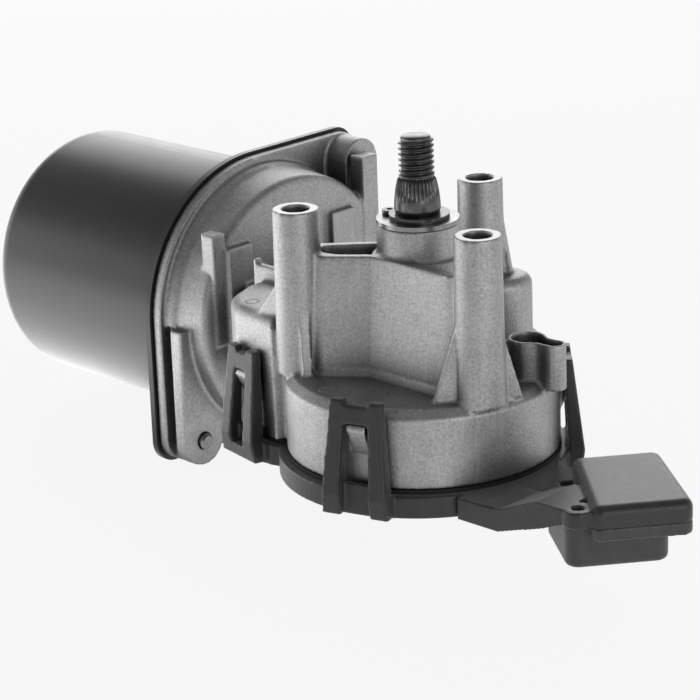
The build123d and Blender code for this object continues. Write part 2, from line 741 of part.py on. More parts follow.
with BuildPart() as gear_housing:
    with BuildSketch(Plane.XZ):
        Polygon(
            (0, -SHOULDER_DROP), (0, POT_FLOOR), (POT_R, POT_FLOOR),
            (POT_R, -SHOULDER_DROP - SHOULDER_EDGE), (POT_R - SHOULDER_EDGE, -SHOULDER_DROP), align=None,
        )
    revolve(axis=Axis.Z)
    with BuildSketch(level(POT_FLOOR)):
        Polygon(*NECK_OUTLINE, align=None)
    extrude(amount=-NECK_DROP - POT_FLOOR)
    add(ledge.part)
    # Worm tunnel, wider round the front bush.
    with BuildSketch(ALONG):
        with BuildLine():
            Polyline(
                (NECK_END, 0), (NECK_END, TUNNEL_SEAT_R), (TUNNEL_SEAT_END, TUNNEL_SEAT_R),
                (TUNNEL_SEAT_END + 4, TUNNEL_R), (TUNNEL_TAPER, TUNNEL_R),
                (TUNNEL_END - 1, TUNNEL_NOSE_R), (TUNNEL_END, TUNNEL_NOSE_R - 1),
                (TUNNEL_END, 0), (NECK_END, 0),
            )
        make_face()
    revolve(axis=MOTOR_AXIS)
    # Bell over the brush gear.
    with BuildSketch(ALONG):
        edge = BELL_FRONT - BELL_ROUND
        with BuildLine():
            Polyline((FLANGE_BACK, 0), (FLANGE_BACK, BELL_BASE_R), (FLANGE_FRONT, BELL_BASE_R))
            ThreePointArc(
                (FLANGE_FRONT, BELL_BASE_R),
                (FLANGE_FRONT + 1.2, BELL_R + BELL_ROUND + 1.6),
                (FLANGE_FRONT + 3.5, BELL_R + BELL_ROUND + 0.6),
            )
            Line((FLANGE_FRONT + 3.5, BELL_R + BELL_ROUND + 0.6), (edge, BELL_R + BELL_ROUND))
            RadiusArc((edge, BELL_R + BELL_ROUND), (BELL_FRONT, BELL_R), BELL_ROUND)
            Polyline((BELL_FRONT, BELL_R), (BELL_FRONT, 0), (FLANGE_BACK, 0))
        make_face()
    revolve(axis=MOTOR_AXIS)
    # Flange, and the two screw ears in front of it.
    with BuildSketch(across(FLANGE_BACK)):
        Circle(FLANGE_HALF)
        with Locations((-FLANGE_HALF / 2, -FLANGE_HALF / 2), (FLANGE_HALF / 2, FLANGE_HALF / 2)):
            Rectangle(FLANGE_HALF, FLANGE_HALF)
    extrude(amount=FLANGE_T)
    with BuildSketch(across(FLANGE_FRONT)):
        with Locations((-FLANGE_HALF, -FLANGE_HALF)):
            Rectangle(EAR_WIDTH, FLANGE_HALF, align=Align.MIN)
        with Locations((SCREW_OFFSET, SCREW_OFFSET)):
            Circle(EAR_BOSS_R)
            Rectangle(2 * EAR_BOSS_R, FLANGE_HALF / 2, align=(Align.CENTER, Align.MAX))
    extrude(amount=EAR_FRONT - FLANGE_FRONT)
    fillet(gear_housing.edges().filter_by(Axis.X).filter_by(far_out), EAR_ROUND)
    with BuildSketch(across(FLANGE_FRONT)):
        with Locations((-FLANGE_HALF, -FLANGE_HALF)):
            Rectangle(2 * EAR_GROOVE_DEPTH, 2 * FLANGE_HALF)
    extrude(amount=EAR_GROOVE_T, mode=Mode.SUBTRACT)
    # Upright ribs on the bell's sides, and raised pads on its face.
    for pieces, back, front in ((SLABS, SLAB_BACK, SLAB_FRONT), (PADS, BELL_FRONT, PAD_FRONT)):
        with BuildSketch(across(back)):
            for near_y, top, width, height in pieces:
                with Locations((near_y, top)):
                    Rectangle(width, height, align=(Align.MIN, Align.MAX))
        extrude(amount=front - back)
    # Rib along the ledge to the left post, with a peg at its end.
    with BuildSketch(Plane.XZ.offset(RIB_T / 2)):
        Polygon(
            (RIB_START, -NECK_DROP - 1), (RIB_START, PEG_HEIGHT - RIB_DROP),
            (RIB_START + PEG_HEIGHT, PEG_HEIGHT - RIB_DROP), (RIB_START + PEG_HEIGHT, -RIB_DROP),
            (RIB_END, -RIB_DROP), (RIB_END, -NECK_DROP - 1), align=None,
        )
    extrude(amount=-RIB_T)
    # Shaft boss and webs.
    with BuildSketch(level(CEILING)):
        Circle(WEB_BOSS_R)
    extrude(amount=-WEB_DROP - 0.6 - CEILING)
    with BuildSketch(level(CEILING)):
        Circle(BOSS_R)
    extrude(amount=BOSS_TOP - CEILING)
    for outline, drop in ((FRONT_WEB, WEB_DROP), (BACK_WEB, WEB_DROP), (REAR_WEB, WEB_DROP + 4)):
        with BuildSketch(level(-drop)):
            Polygon(*outline, align=None)
        extrude(amount=-SHOULDER_DROP - 1 + drop, taper=-WEB_TAPER)
    with BuildSketch(level(WEB_FOOT - SHOULDER_DROP)):
        Polygon(*FRONT_WEB, align=None)
        offset(amount=WEB_FOOT_REACH)
    extrude(amount=-WEB_FOOT, taper=-WEB_FOOT_SLOPE)
    # Mounting posts, wider towards their feet.
    post_length = SHOULDER_DROP + 1
    with BuildSketch(level(0)):
        with Locations(LEFT_POST, FRONT_POST, BACK_POST):
            Circle(POST_D / 2)
    extrude(amount=-post_length, taper=-POST_DRAFT)
    for post, way, reach, top, foot in GUSSETS:
        turn = radians(way)
        flat = Plane(origin=(post[0], post[1], 0), x_dir=(cos(turn), sin(turn), 0),
                     z_dir=(sin(turn), -cos(turn), 0))
        with BuildSketch(flat.offset(-GUSSET_T / 2)):
            Polygon((0, top), (POST_D / 2 - 0.3, top), (reach, foot), (0, foot), align=None)
        extrude(amount=GUSSET_T)
    add(hump.part)
    # Breather boss.
    with BuildSketch(level(BREATHER_TOP)):
        with BuildLine():
            Spline(*keyhole(0), periodic=True)
        make_face()
    extrude(amount=BREATHER_FOOT - BREATHER_TOP)
    # Catches.
    for place, *_ in CLIPS:
        with BuildSketch(facing(place).offset(-CATCH_WIDTH / 2)):
            Polygon((-1.2, CATCH_TOP), (CATCH_REACH - 0.4, CATCH_TOP), (CATCH_REACH, CATCH_TOP - 1.2),
                    (0.3, CATCH_FOOT), (-1.2, CATCH_FOOT), align=None)
        extrude(amount=CATCH_WIDTH)
    # Hollows.
    with BuildSketch(level(POT_FLOOR)):
        Circle(POT_R - WALL)
    extrude(amount=CEILING - POT_FLOOR, mode=Mode.SUBTRACT)
    with BuildSketch(level(POT_FLOOR)):
        Polygon(*NECK_HOLLOW, align=None)
    extrude(amount=-NECK_DROP - WALL - POT_FLOOR, mode=Mode.SUBTRACT)
    with BuildSketch(level(POT_FLOOR)):
        Polygon(*LEDGE_HOLLOW, align=None)
    extrude(amount=-LEDGE_DROP - WALL - POT_FLOOR, mode=Mode.SUBTRACT)
    with BuildSketch(across(FLANGE_BACK)):
        Circle(BELL_HOLLOW_R)
    extrude(amount=BELL_FRONT - BELL_WALL - FLANGE_BACK, mode=Mode.SUBTRACT)
    with BuildSketch(across(FRONT_BUSH_BACK - 1)):
        Circle(FRONT_BUSH_R)
    extrude(amount=FRONT_BUSH_LENGTH + 1, mode=Mode.SUBTRACT)
    with BuildSketch(across(FRONT_BUSH_BACK)):
        Circle(TUNNEL_BORE_R)
    extrude(amount=WORM_END + SEAT_GAP - FRONT_BUSH_BACK, mode=Mode.SUBTRACT)
    with BuildSketch(across(WORM_END)):
        Circle(THRUST_R + SEAT_GAP)
    extrude(amount=END_PLAY + THRUST_LENGTH, mode=Mode.SUBTRACT)
    with BuildSketch(level(POT_FLOOR)):
        with Locations(CORE_POCKET_PLACE):
            RectangleRounded(CORE_POCKET_LENGTH, CORE_POCKET_WIDTH, 2.0)
    extrude(amount=CORE_POCKET_DEPTH, mode=Mode.SUBTRACT)
    # Holes.
    with BuildSketch(level(BOSS_TOP)):
        Circle(BUSH_R)
    extrude(amount=CEILING - BOSS_TOP, mode=Mode.SUBTRACT)
    with BuildSketch(level(0)):
        with Locations(LEFT_POST, FRONT_POST, BACK_POST):
            Circle(POST_HOLE_D / 2)
    extrude(amount=-POST_HOLE_DEPTH, mode=Mode.SUBTRACT)
    with BuildSketch(level(BREATHER_TOP)):
        with BuildLine():
            Spline(*keyhole(BREATHER_WALL), periodic=True)
        make_face()
    extrude(amount=BREATHER_FLOOR - BREATHER_TOP, mode=Mode.SUBTRACT)
    with BuildSketch(across(FLANGE_BACK)):
        with Locations((-SCREW_OFFSET, -SCREW_OFFSET), (SCREW_OFFSET, SCREW_OFFSET)):
            Circle(SCREW_R + SEAT_GAP)
    extrude(amount=EAR_FRONT - FLANGE_BACK, mode=Mode.SUBTRACT)
save(gear_housing.part, "gear_housing")

# Cover, moulded in one with its spring clips and the block over the connector.

COVER_STEP = 2.0
COVER_R = POT_R + COVER_STEP
COVER_FLOOR = -61.0
COVER_T = 2.2
RIM_WALL = 3.4
GASKET_INSET = 1.8
GASKET_T = 0.9
COVER_RIM = POT_FLOOR - GASKET_T
CLIP_TOP = -35.7
CLIP_T = 2.0
CLIP_STAND_OFF = 0.5
CLIP_FLARE = 2.6
CLIP_EAR = 1.0
COVER_OUTLINE = (
    (-18.0, -20.0), (-27.0, -22.6), (-41.5, -20.8), (-50.0, -13.5), (-52.0, -8.0), (-52.0, 42.5),
    (-5.0, 42.5), (8.0, 33.0),
)
COVER_ROUND = 4.0
SHAFT_CUP_R = 8.0
SHAFT_CUP_WALL = 1.6

# Connector block: its long side runs at this angle, and u and v are measured along and across it.
BLOCK_TURN = -38.0
BLOCK_TOP = -50.0
BLOCK_SEAM = -54.8
BLOCK_U = (30.6, 61.4)
BLOCK_V = (25.2, 46.9)
BLOCK_SLANT = 2.2
BLOCK_WALL = 1.8
BLOCK_CORNER = 2.2
BLOCK_EDGE = 1.8
SOCKET_CORNER = 3.0
SOCKET_EDGE = 1.2
SOCKET_U = (35.4, 57.3)
SOCKET_V = (20.6, 42.9)
SOCKET_FOOT = -65.0
SOCKET_WALL = 1.8
SOCKET_FLANGE_T = 2.8
EYE_PLACE = (57.2, 22.9)
EYE_R = 3.4
EYE_HOLE_R = 1.3
EYE_DROP = 1.2
ARM_NEAR = -20.0
ARM_FAR = -7.0
ARM_PROFILE = (
    (28.0, COVER_FLOOR), (39.0, COVER_FLOOR), (51.0, -57.2), (57.0, BLOCK_SEAM),
    (57.0, BLOCK_TOP - EYE_DROP), (50.0, BLOCK_TOP - EYE_DROP), (40.0, COVER_RIM + 0.4),
    (34.0, COVER_RIM), (28.0, COVER_RIM),
)
SHELF_OUTLINE = ((28.0, -18.0), (40.0, -12.0), (47.0, 0.0), (37.0, 9.0), (28.0, 12.0))
SHELF_T = 2.0


def block_plane(z):
    """A level plane turned to the connector block; its x runs away from the housing."""
    turn = radians(BLOCK_TURN)
    return Plane(origin=(0, 0, z), x_dir=(cos(turn), sin(turn), 0), z_dir=(0, 0, 1))


def spring_clip(place, top_width, foot_width, foot_bar):
    """A clip: a splayed frame that rises from the rim, open in its middle to hook over a catch."""
    turn = radians(place[2])
    front = Plane(origin=(place[0], place[1], 0), x_dir=(-sin(turn), cos(turn), 0),
                  z_dir=(cos(turn), sin(turn), 0))
    proud = CLIP_STAND_OFF + CLIP_T
    foot = COVER_FLOOR + 0.3
    top = CLIP_TOP + CLIP_EAR
    top_half = top_width / 2
    foot_half = foot_width / 2
    gap = top_half - CLIP_BAR
    foot_gap = gap + 0.5
    with BuildPart() as clip:
        with BuildSketch(facing(place).offset(-foot_half)):
            Polygon((CLIP_STAND_OFF, top), (proud, top), (proud + CLIP_FLARE, COVER_RIM),
                    (proud + CLIP_FLARE - 0.8, foot), (-0.6, foot), (-0.6, COVER_RIM - 1.0),
                    (CLIP_STAND_OFF + 1.0, COVER_RIM + 0.5), align=None)
        extrude(amount=foot_width)
        with BuildSketch(front):
            Polygon((-top_half, top), (top_half, top), (foot_half, foot), (-foot_half, foot), align=None)
        extrude(amount=4 * proud, both=True, mode=Mode.INTERSECT)
        # The dip between the two ears, the window, and the step back below it.
        with BuildSketch(front):
            Polygon((-gap, CLIP_TOP), (gap, CLIP_TOP), (gap, top + 1), (-gap, top + 1), align=None)
            Polygon((-gap, CLIP_OPENING_TOP), (gap, CLIP_OPENING_TOP), (foot_gap, CLIP_OPENING_FOOT),
                    (-foot_gap, CLIP_OPENING_FOOT), align=None)
        extrude(amount=4 * proud, mode=Mode.SUBTRACT)
        with BuildSketch(front.offset(COVER_STEP + 0.3)):
            Polygon((-foot_gap, foot + foot_bar - 0.1), (foot_gap, foot + foot_bar - 0.1),
                    (foot_gap, CLIP_OPENING_FOOT + 1), (-foot_gap, CLIP_OPENING_FOOT + 1), align=None)
        extrude(amount=2 * proud, mode=Mode.SUBTRACT)
    return clip.part


BLOCK_MIDDLE = (middle(BLOCK_U), middle(BLOCK_V))
SOCKET_MIDDLE = (middle(SOCKET_U), middle(SOCKET_V))
BLOCK_OUTLINE = (
    (BLOCK_U[0], BLOCK_V[0] + BLOCK_SLANT), (BLOCK_U[1], BLOCK_V[0]), (BLOCK_U[1], BLOCK_V[1]),
    (BLOCK_U[0], BLOCK_V[1]),
)

with BuildPart() as block:
    with BuildSketch(block_plane(BLOCK_SEAM)) as block_plan:
        Polygon(*BLOCK_OUTLINE, align=None)
        fillet(block_plan.vertices(), BLOCK_CORNER)
    extrude(amount=BLOCK_TOP - BLOCK_SEAM)
    fillet(block.faces().sort_by(Axis.Z)[-1].edges(), BLOCK_EDGE)

with BuildPart() as gear_cover:
    with BuildSketch(level(COVER_FLOOR)) as cover_plan:
        Polygon(*COVER_OUTLINE, align=None)
        fillet(cover_plan.vertices().group_by(Axis.X)[0], COVER_ROUND)
        Circle(COVER_R)
    extrude(amount=COVER_RIM - COVER_FLOOR)
    for clip in CLIPS:
        add(spring_clip(*clip))
    # Arm out to the connector, rising from the floor of the cover to the seam of the block.
    with BuildSketch(Plane.XZ.offset(-ARM_FAR)):
        Polygon(*ARM_PROFILE, align=None)
    extrude(amount=ARM_FAR - ARM_NEAR)
    with BuildSketch(level(COVER_RIM)):
        Polygon(*SHELF_OUTLINE, align=None)
    extrude(amount=-SHELF_T)
    # Block over the connector, open below, with an eye for a fixing at its corner.
    add(block.part)
    with BuildSketch(block_plane(BLOCK_SEAM)):
        with Locations(EYE_PLACE):
            Circle(EYE_R)
    extrude(amount=BLOCK_TOP - EYE_DROP - BLOCK_SEAM)
    # Hollows of the cover and of the block, and room for the socket.
    with BuildSketch(level(COVER_FLOOR + COVER_T)):
        add(cover_plan.sketch)
        offset(amount=-RIM_WALL)
    extrude(amount=COVER_RIM - COVER_FLOOR - COVER_T, mode=Mode.SUBTRACT)
    with BuildSketch(block_plane(BLOCK_SEAM)):
        Polygon(*BLOCK_OUTLINE, align=None)
        offset(amount=-BLOCK_WALL)
    extrude(amount=BLOCK_TOP - BLOCK_WALL - BLOCK_SEAM, mode=Mode.SUBTRACT)
    with BuildSketch(block_plane(SOCKET_FOOT)):
        with Locations(BLOCK_MIDDLE):
            Rectangle(span(BLOCK_U) + 1, span(BLOCK_V) + 1)
        with Locations(SOCKET_MIDDLE):
            Rectangle(span(SOCKET_U) + 1, span(SOCKET_V) + 1)
    extrude(amount=BLOCK_SEAM - SOCKET_FOOT, mode=Mode.SUBTRACT)
    with BuildSketch(block_plane(BLOCK_TOP)):
        with Locations(EYE_PLACE):
            Circle(EYE_HOLE_R)
    extrude(amount=BLOCK_SEAM - BLOCK_TOP - 1, mode=Mode.SUBTRACT)
    # Cup round the foot of the output shaft.
    with BuildSketch(level(COVER_FLOOR + COVER_T / 2)):
        Circle(SHAFT_CUP_R)
        Circle(SHAFT_CUP_R - SHAFT_CUP_WALL, mode=Mode.SUBTRACT)
    extrude(amount=SHAFT_FOOT + 1 - COVER_FLOOR - COVER_T / 2)
save(gear_cover.part, "gear_cover")

with BuildPart() as cover_gasket:
    with BuildSketch(level(COVER_RIM)):
        add(cover_plan.sketch)
        offset(amount=-GASKET_INSET)
    extrude(amount=GASKET_T)
    with BuildSketch(level(COVER_RIM)):
        add(cover_plan.sketch)
        offset(amount=-RIM_WALL)
    extrude(amount=GASKET_T, mode=Mode.SUBTRACT)
save(cover_gasket.part, "cover_gasket")

# Connector socket, closed above by the block and open below, and its pins.

PIN_COUNT = 5
PIN_WIDTH = 2.4
PIN_T = 0.8
PIN_PITCH = 3.6
PIN_LENGTH = 7.0
PIN_V = 26.5

with BuildPart() as connector_socket:
    with BuildSketch(block_plane(SOCKET_FOOT)):
        with Locations(SOCKET_MIDDLE):
            RectangleRounded(span(SOCKET_U), span(SOCKET_V), SOCKET_CORNER)
    extrude(amount=BLOCK_SEAM - SOCKET_FOOT)
    fillet(connector_socket.faces().sort_by(Axis.Z)[0].edges(), SOCKET_EDGE)
    with BuildSketch(block_plane(BLOCK_SEAM - SOCKET_FLANGE_T)) as socket_flange:
        Polygon(*BLOCK_OUTLINE, align=None)
        fillet(socket_flange.vertices(), BLOCK_CORNER)
    extrude(amount=SOCKET_FLANGE_T)
    with BuildSketch(block_plane(SOCKET_FOOT)):
        with Locations(SOCKET_MIDDLE):
            RectangleRounded(span(SOCKET_U) - 2 * SOCKET_WALL, span(SOCKET_V) - 2 * SOCKET_WALL, 1.0)
    extrude(amount=BLOCK_SEAM - SOCKET_WALL - SOCKET_FOOT, mode=Mode.SUBTRACT)
    with BuildSketch(block_plane(BLOCK_SEAM)):
        with Locations((middle(SOCKET_U), PIN_V)):
            with GridLocations(PIN_PITCH, 1, PIN_COUNT, 1):
                Rectangle(PIN_WIDTH, PIN_T)
    extrude(amount=-SOCKET_WALL, mode=Mode.SUBTRACT)
save(connector_socket.part, "connector_socket")

with BuildPart() as terminal_pins:
    with BuildSketch(block_plane(BLOCK_SEAM)):
        with Locations((middle(SOCKET_U), PIN_V)):
            with GridLocations(PIN_PITCH, 1, PIN_COUNT, 1):
                Rectangle(PIN_WIDTH, PIN_T)
    extrude(amount=-PIN_LENGTH)
save(terminal_pins.part, "terminal_pins")

# Brush gear: a plate on three feet inside the bell, with a holder and a torsion spring per brush.

PLATE_BACK = -84.0
PLATE_T = 2.0
PLATE_R = BELL_HOLLOW_R - 0.3
PLATE_HOLE_R = COMMUTATOR_R + 1.2
FOOT_R = 2.6
FOOT_CIRCLE_R = 21.0
FOOT_ANGLES = (60, 180, 300)
BRUSH_ANGLES = (0, 180, 120)
BRUSH_WIDTH = 7.0
BRUSH_T = 5.0
BRUSH_GAP = 0.1
BRUSH_END_R = 18.6
HOLDER_WALL = 0.8
HOLDER_GAP = 0.1
HOLDER_START_R = RISER_R + 0.5
HOLDER_END_R = 16.5
BRUSH_FRONT = PLATE_BACK - HOLDER_WALL - HOLDER_GAP
SPRING_POST_R = 1.5
SPRING_POST_PLACE = (20.0, -6.5)
SPRING_COIL_R = 2.5
SPRING_WIRE = 0.8


def along_brush(angle):
    """A plane square to the motor axis whose x runs out along one brush."""
    turn = radians(angle)
    return Plane(origin=(BRUSH_FRONT, WORM_Y, -AXIS_DROP), x_dir=(0, cos(turn), sin(turn)),
                 z_dir=(1, 0, 0))


with BuildPart() as brush_plate:
    with BuildSketch(across(PLATE_BACK)):
        Circle(PLATE_R)
        Circle(PLATE_HOLE_R, mode=Mode.SUBTRACT)
    extrude(amount=PLATE_T)
    with BuildSketch(across(PLATE_BACK)):
        for angle in FOOT_ANGLES:
            with Locations((FOOT_CIRCLE_R * cos(radians(angle)), FOOT_CIRCLE_R * sin(radians(angle)))):
                Circle(FOOT_R)
    extrude(amount=BELL_FRONT - BELL_WALL - PLATE_BACK)
    for angle in BRUSH_ANGLES:
        with BuildSketch(along_brush(angle).offset(-BRUSH_WIDTH)):
            with Locations(SPRING_POST_PLACE):
                Circle(SPRING_POST_R)
        extrude(amount=BRUSH_WIDTH + PLATE_BACK - BRUSH_FRONT)
save(brush_plate.part, "brush_plate")

with BuildPart() as brushes:
    for angle in BRUSH_ANGLES:
        with BuildSketch(along_brush(angle)):
            with Locations((COMMUTATOR_R + BRUSH_GAP, 0)):
                Rectangle(BRUSH_END_R - COMMUTATOR_R - BRUSH_GAP, BRUSH_T, align=(Align.MIN, Align.CENTER))
        extrude(amount=-BRUSH_WIDTH)
save(brushes.part, "brushes")

with BuildPart() as brush_holders:
    for angle in BRUSH_ANGLES:
        inner = BRUSH_T + 2 * HOLDER_GAP
        start = along_brush(angle).offset(HOLDER_GAP + HOLDER_WALL)
        with BuildSketch(start):
            with Locations((HOLDER_START_R, 0)):
                Rectangle(HOLDER_END_R - HOLDER_START_R, inner + 2 * HOLDER_WALL,
                          align=(Align.MIN, Align.CENTER))
        extrude(amount=-BRUSH_WIDTH - 2 * HOLDER_GAP - 2 * HOLDER_WALL)
    for angle in BRUSH_ANGLES:
        with BuildSketch(along_brush(angle).offset(HOLDER_GAP)):
            with Locations((HOLDER_START_R - 1, 0)):
                Rectangle(HOLDER_END_R - HOLDER_START_R + 2, inner, align=(Align.MIN, Align.CENTER))
        extrude(amount=-BRUSH_WIDTH - 2 * HOLDER_GAP, mode=Mode.SUBTRACT)
save(brush_holders.part, "brush_holders")

with BuildPart() as brush_springs:
    for angle in BRUSH_ANGLES:
        post_y = SPRING_POST_PLACE[1]
        with BuildSketch(along_brush(angle).offset(-BRUSH_WIDTH / 4)):
            with Locations(SPRING_POST_PLACE):
                Circle(SPRING_COIL_R)
                Circle(SPRING_POST_R, mode=Mode.SUBTRACT)
        extrude(amount=-BRUSH_WIDTH / 2)
        with BuildSketch(along_brush(angle).offset(-BRUSH_WIDTH / 2)):
            with Locations((BRUSH_END_R, post_y + SPRING_POST_R)):
                Rectangle(SPRING_WIRE, 1 - post_y - SPRING_POST_R, align=Align.MIN)
        extrude(amount=-SPRING_WIRE)
save(brush_springs.part, "brush_springs")

# Suppression chokes on the front of the plate.

CHOKE_R = 3.0
CHOKE_CORE_R = 1.5
CHOKE_LENGTH = 10.0
CHOKE_CIRCLE_R = 17.5
CHOKE_ANGLES = (0, 240)

with BuildPart() as suppression_chokes:
    for angle in CHOKE_ANGLES:
        turn = radians(angle)
        out = (0, cos(turn), sin(turn))
        along = (0, -sin(turn), cos(turn))
        centre = (PLATE_BACK + PLATE_T + CHOKE_R, WORM_Y + CHOKE_CIRCLE_R * cos(turn),
                  -AXIS_DROP + CHOKE_CIRCLE_R * sin(turn))
        with BuildSketch(Plane(origin=centre, x_dir=out, z_dir=along)):
            Circle(CHOKE_R)
        extrude(amount=CHOKE_LENGTH / 2, both=True)
        with BuildSketch(Plane(origin=centre, x_dir=out, z_dir=along)):
            Circle(CHOKE_CORE_R)
        extrude(amount=CHOKE_LENGTH / 2 + 1.5, both=True)
save(suppression_chokes.part, "suppression_chokes")

# Two screws hold the can to the housing; their heads bear on the can's flange.

SCREW_HEAD_T = 2.4
SCREW_TIP = EAR_FRONT + 1.2
SOCKET_KEY_R = 1.6
FLANGE_SEAT = FLANGE_BACK - CAN_FLANGE_T

with BuildPart() as can_screws:
    corners = ((-SCREW_OFFSET, -SCREW_OFFSET), (SCREW_OFFSET, SCREW_OFFSET))
    with BuildSketch(across(FLANGE_SEAT)):
        with Locations(*corners):
            Circle(SCREW_R)
    extrude(amount=SCREW_TIP - FLANGE_SEAT)
    chamfer(can_screws.faces().group_by(Axis.X)[-1].edges(), 0.6)
    with BuildSketch(across(FLANGE_SEAT)):
        with Locations(*corners):
            Circle(SCREW_HEAD_R)
    extrude(amount=-SCREW_HEAD_T)
    chamfer(can_screws.faces().group_by(Axis.X)[0].edges(), 0.8)
    with BuildSketch(across(FLANGE_SEAT - SCREW_HEAD_T)):
        with Locations(*corners):
            RegularPolygon(SOCKET_KEY_R, 6)
    extrude(amount=SCREW_HEAD_T / 2, mode=Mode.SUBTRACT)
save(can_screws.part, "can_screws")

# Park switch: spring fingers on the cover that end just under the contact track.

FINGER_T = 0.5
FINGER_WIDTH = 2.0
FINGER_GAP = 0.3
FINGER_RADII = (13.2, 16.6, 20.0)
FINGER_BASE = -12.0
FINGER_FOOT = -9.6
COVER_INSIDE = COVER_FLOOR + COVER_T
FINGER_TIP = TRACK_TOP - TRACK_T - FINGER_GAP

with BuildPart() as park_contacts:
    for radius in FINGER_RADII:
        with BuildSketch(Plane(origin=(-radius, 0, 0), x_dir=(0, 1, 0), z_dir=(1, 0, 0))):
            Polygon((FINGER_BASE, COVER_INSIDE), (FINGER_FOOT, COVER_INSIDE),
                    (-0.1, FINGER_TIP - 2 * FINGER_T), (1.2, FINGER_TIP - 3.2 * FINGER_T),
                    (1.6, FINGER_TIP - 2.4 * FINGER_T), (0.2, FINGER_TIP), (-0.4, FINGER_TIP),
                    (FINGER_FOOT - 0.4, COVER_INSIDE + FINGER_T), (FINGER_BASE, COVER_INSIDE + FINGER_T),
                    align=None)
        extrude(amount=FINGER_WIDTH / 2, both=True)
save(park_contacts.part, "park_contacts")

# Conductors on the cover's floor, from the park contacts towards the connector.

STRIP_T = 0.6
STRIP_WIDTH = 1.8
STRIP_ENDS = (23.5, 22.0, 20.0)
STRIP_PITCH = 2.6

with BuildPart() as lead_frame:
    for index, radius in enumerate(FINGER_RADII):
        lane = FINGER_BASE - 0.8 - index * STRIP_PITCH
        with BuildSketch(level(COVER_INSIDE)):
            with Locations((-radius - FINGER_WIDTH / 2, lane)):
                Rectangle(radius + STRIP_ENDS[index], STRIP_WIDTH, align=(Align.MIN, Align.MAX))
            with Locations((-radius, FINGER_BASE)):
                Rectangle(FINGER_WIDTH, FINGER_BASE - lane + 0.5, align=(Align.CENTER, Align.MAX))
        extrude(amount=STRIP_T)
save(lead_frame.part, "lead_frame")
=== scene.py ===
# %% [markdown]
# A windscreen wiper motor, dressed for its picture.
# The shapes of its parts come packed as a fixed frame, in metres, with the output shaft along +Z and
# the motor along X. This lesson gives every part its finish, softens the castings and mouldings as
# their moulds leave them, and cuts the spindle's thread and knurl, which its plain solid leaves out.

# %% Load the frame
import json
import math

import bmesh
import bpy
from mathutils import Matrix, Vector


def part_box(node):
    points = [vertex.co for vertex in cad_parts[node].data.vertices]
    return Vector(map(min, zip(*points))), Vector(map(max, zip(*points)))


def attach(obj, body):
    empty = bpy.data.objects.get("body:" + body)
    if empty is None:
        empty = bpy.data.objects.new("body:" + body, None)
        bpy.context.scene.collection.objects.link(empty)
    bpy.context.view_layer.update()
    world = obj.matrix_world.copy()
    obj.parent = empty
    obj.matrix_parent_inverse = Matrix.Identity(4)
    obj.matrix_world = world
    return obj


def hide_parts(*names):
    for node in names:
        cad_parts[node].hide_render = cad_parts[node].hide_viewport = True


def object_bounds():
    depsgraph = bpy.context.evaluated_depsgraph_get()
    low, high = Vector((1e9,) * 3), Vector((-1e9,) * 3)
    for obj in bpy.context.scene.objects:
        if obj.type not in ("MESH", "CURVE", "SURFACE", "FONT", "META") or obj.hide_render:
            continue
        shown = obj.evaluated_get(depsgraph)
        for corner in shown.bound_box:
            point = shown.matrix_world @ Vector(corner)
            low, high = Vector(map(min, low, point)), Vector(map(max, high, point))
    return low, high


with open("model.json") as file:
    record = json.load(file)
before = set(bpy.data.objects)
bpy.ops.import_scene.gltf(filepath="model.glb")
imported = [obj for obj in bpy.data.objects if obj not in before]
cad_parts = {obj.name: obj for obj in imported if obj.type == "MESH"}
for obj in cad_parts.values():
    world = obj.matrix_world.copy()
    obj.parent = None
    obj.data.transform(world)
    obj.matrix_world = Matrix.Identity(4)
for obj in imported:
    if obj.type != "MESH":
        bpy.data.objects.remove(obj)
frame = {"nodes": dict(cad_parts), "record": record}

MM = 0.001
nodes = frame["nodes"]
cad_low, cad_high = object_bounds()
print("parts", len(nodes), "size in mm", [round(v / MM, 1) for v in cad_high - cad_low])

# %% [markdown]
# The picture was taken from the front right and a little above, with a long lens.
# The camera is placed by an angle round the part, an angle above the horizon and a distance from the
# point that it aims at, and is then rolled a little, because the part doesn't stand quite straight in
# the picture. The lens is given by its focal length in picture widths.

# %% Camera
CAMERA_AROUND = math.radians(44.622)
CAMERA_ABOVE = math.radians(18.681)
CAMERA_ROLL = math.radians(-2.09)
CAMERA_DISTANCE = 612.64 * MM
CAMERA_AIM = Vector((-11.39, -11.26, -32.89)) * MM
CAMERA_SEES_TO = 10
FOCAL_PICTURES = 2731.64 / 700
SENSOR_MM = 36.0

back = Vector((
    math.sin(CAMERA_AROUND) * math.cos(CAMERA_ABOVE),
    -math.cos(CAMERA_AROUND) * math.cos(CAMERA_ABOVE),
    math.sin(CAMERA_ABOVE),
))
level_right = Vector((math.cos(CAMERA_AROUND), math.sin(CAMERA_AROUND), 0))
level_up = back.cross(level_right)
right = level_right * math.cos(CAMERA_ROLL) + level_up * math.sin(CAMERA_ROLL)
up = back.cross(right)

camera_data = bpy.data.cameras.new("camera")
camera_data.sensor_width = SENSOR_MM
camera_data.lens = FOCAL_PICTURES * SENSOR_MM
camera_data.clip_end = CAMERA_SEES_TO
camera = bpy.data.objects.new("camera", camera_data)
camera.matrix_world = Matrix.Translation(CAMERA_AIM + back * CAMERA_DISTANCE) @ Matrix((
    (right.x, up.x, back.x, 0),
    (right.y, up.y, back.y, 0),
    (right.z, up.z, back.z, 0),
    (0, 0, 0, 1),
))
bpy.context.collection.objects.link(camera)
bpy.context.scene.camera = camera
bpy.context.scene.view_settings.view_transform = "Standard"
print("lens in mm", round(camera_data.lens, 1))

# %% [markdown]
# Colours are written as they look on a screen, as sRGB hex values. Shaders work with linear light, so
# one function turns a hex value into linear numbers. A second small function adds one shader node
# with its settings and its links, which keeps each material below short enough to read.


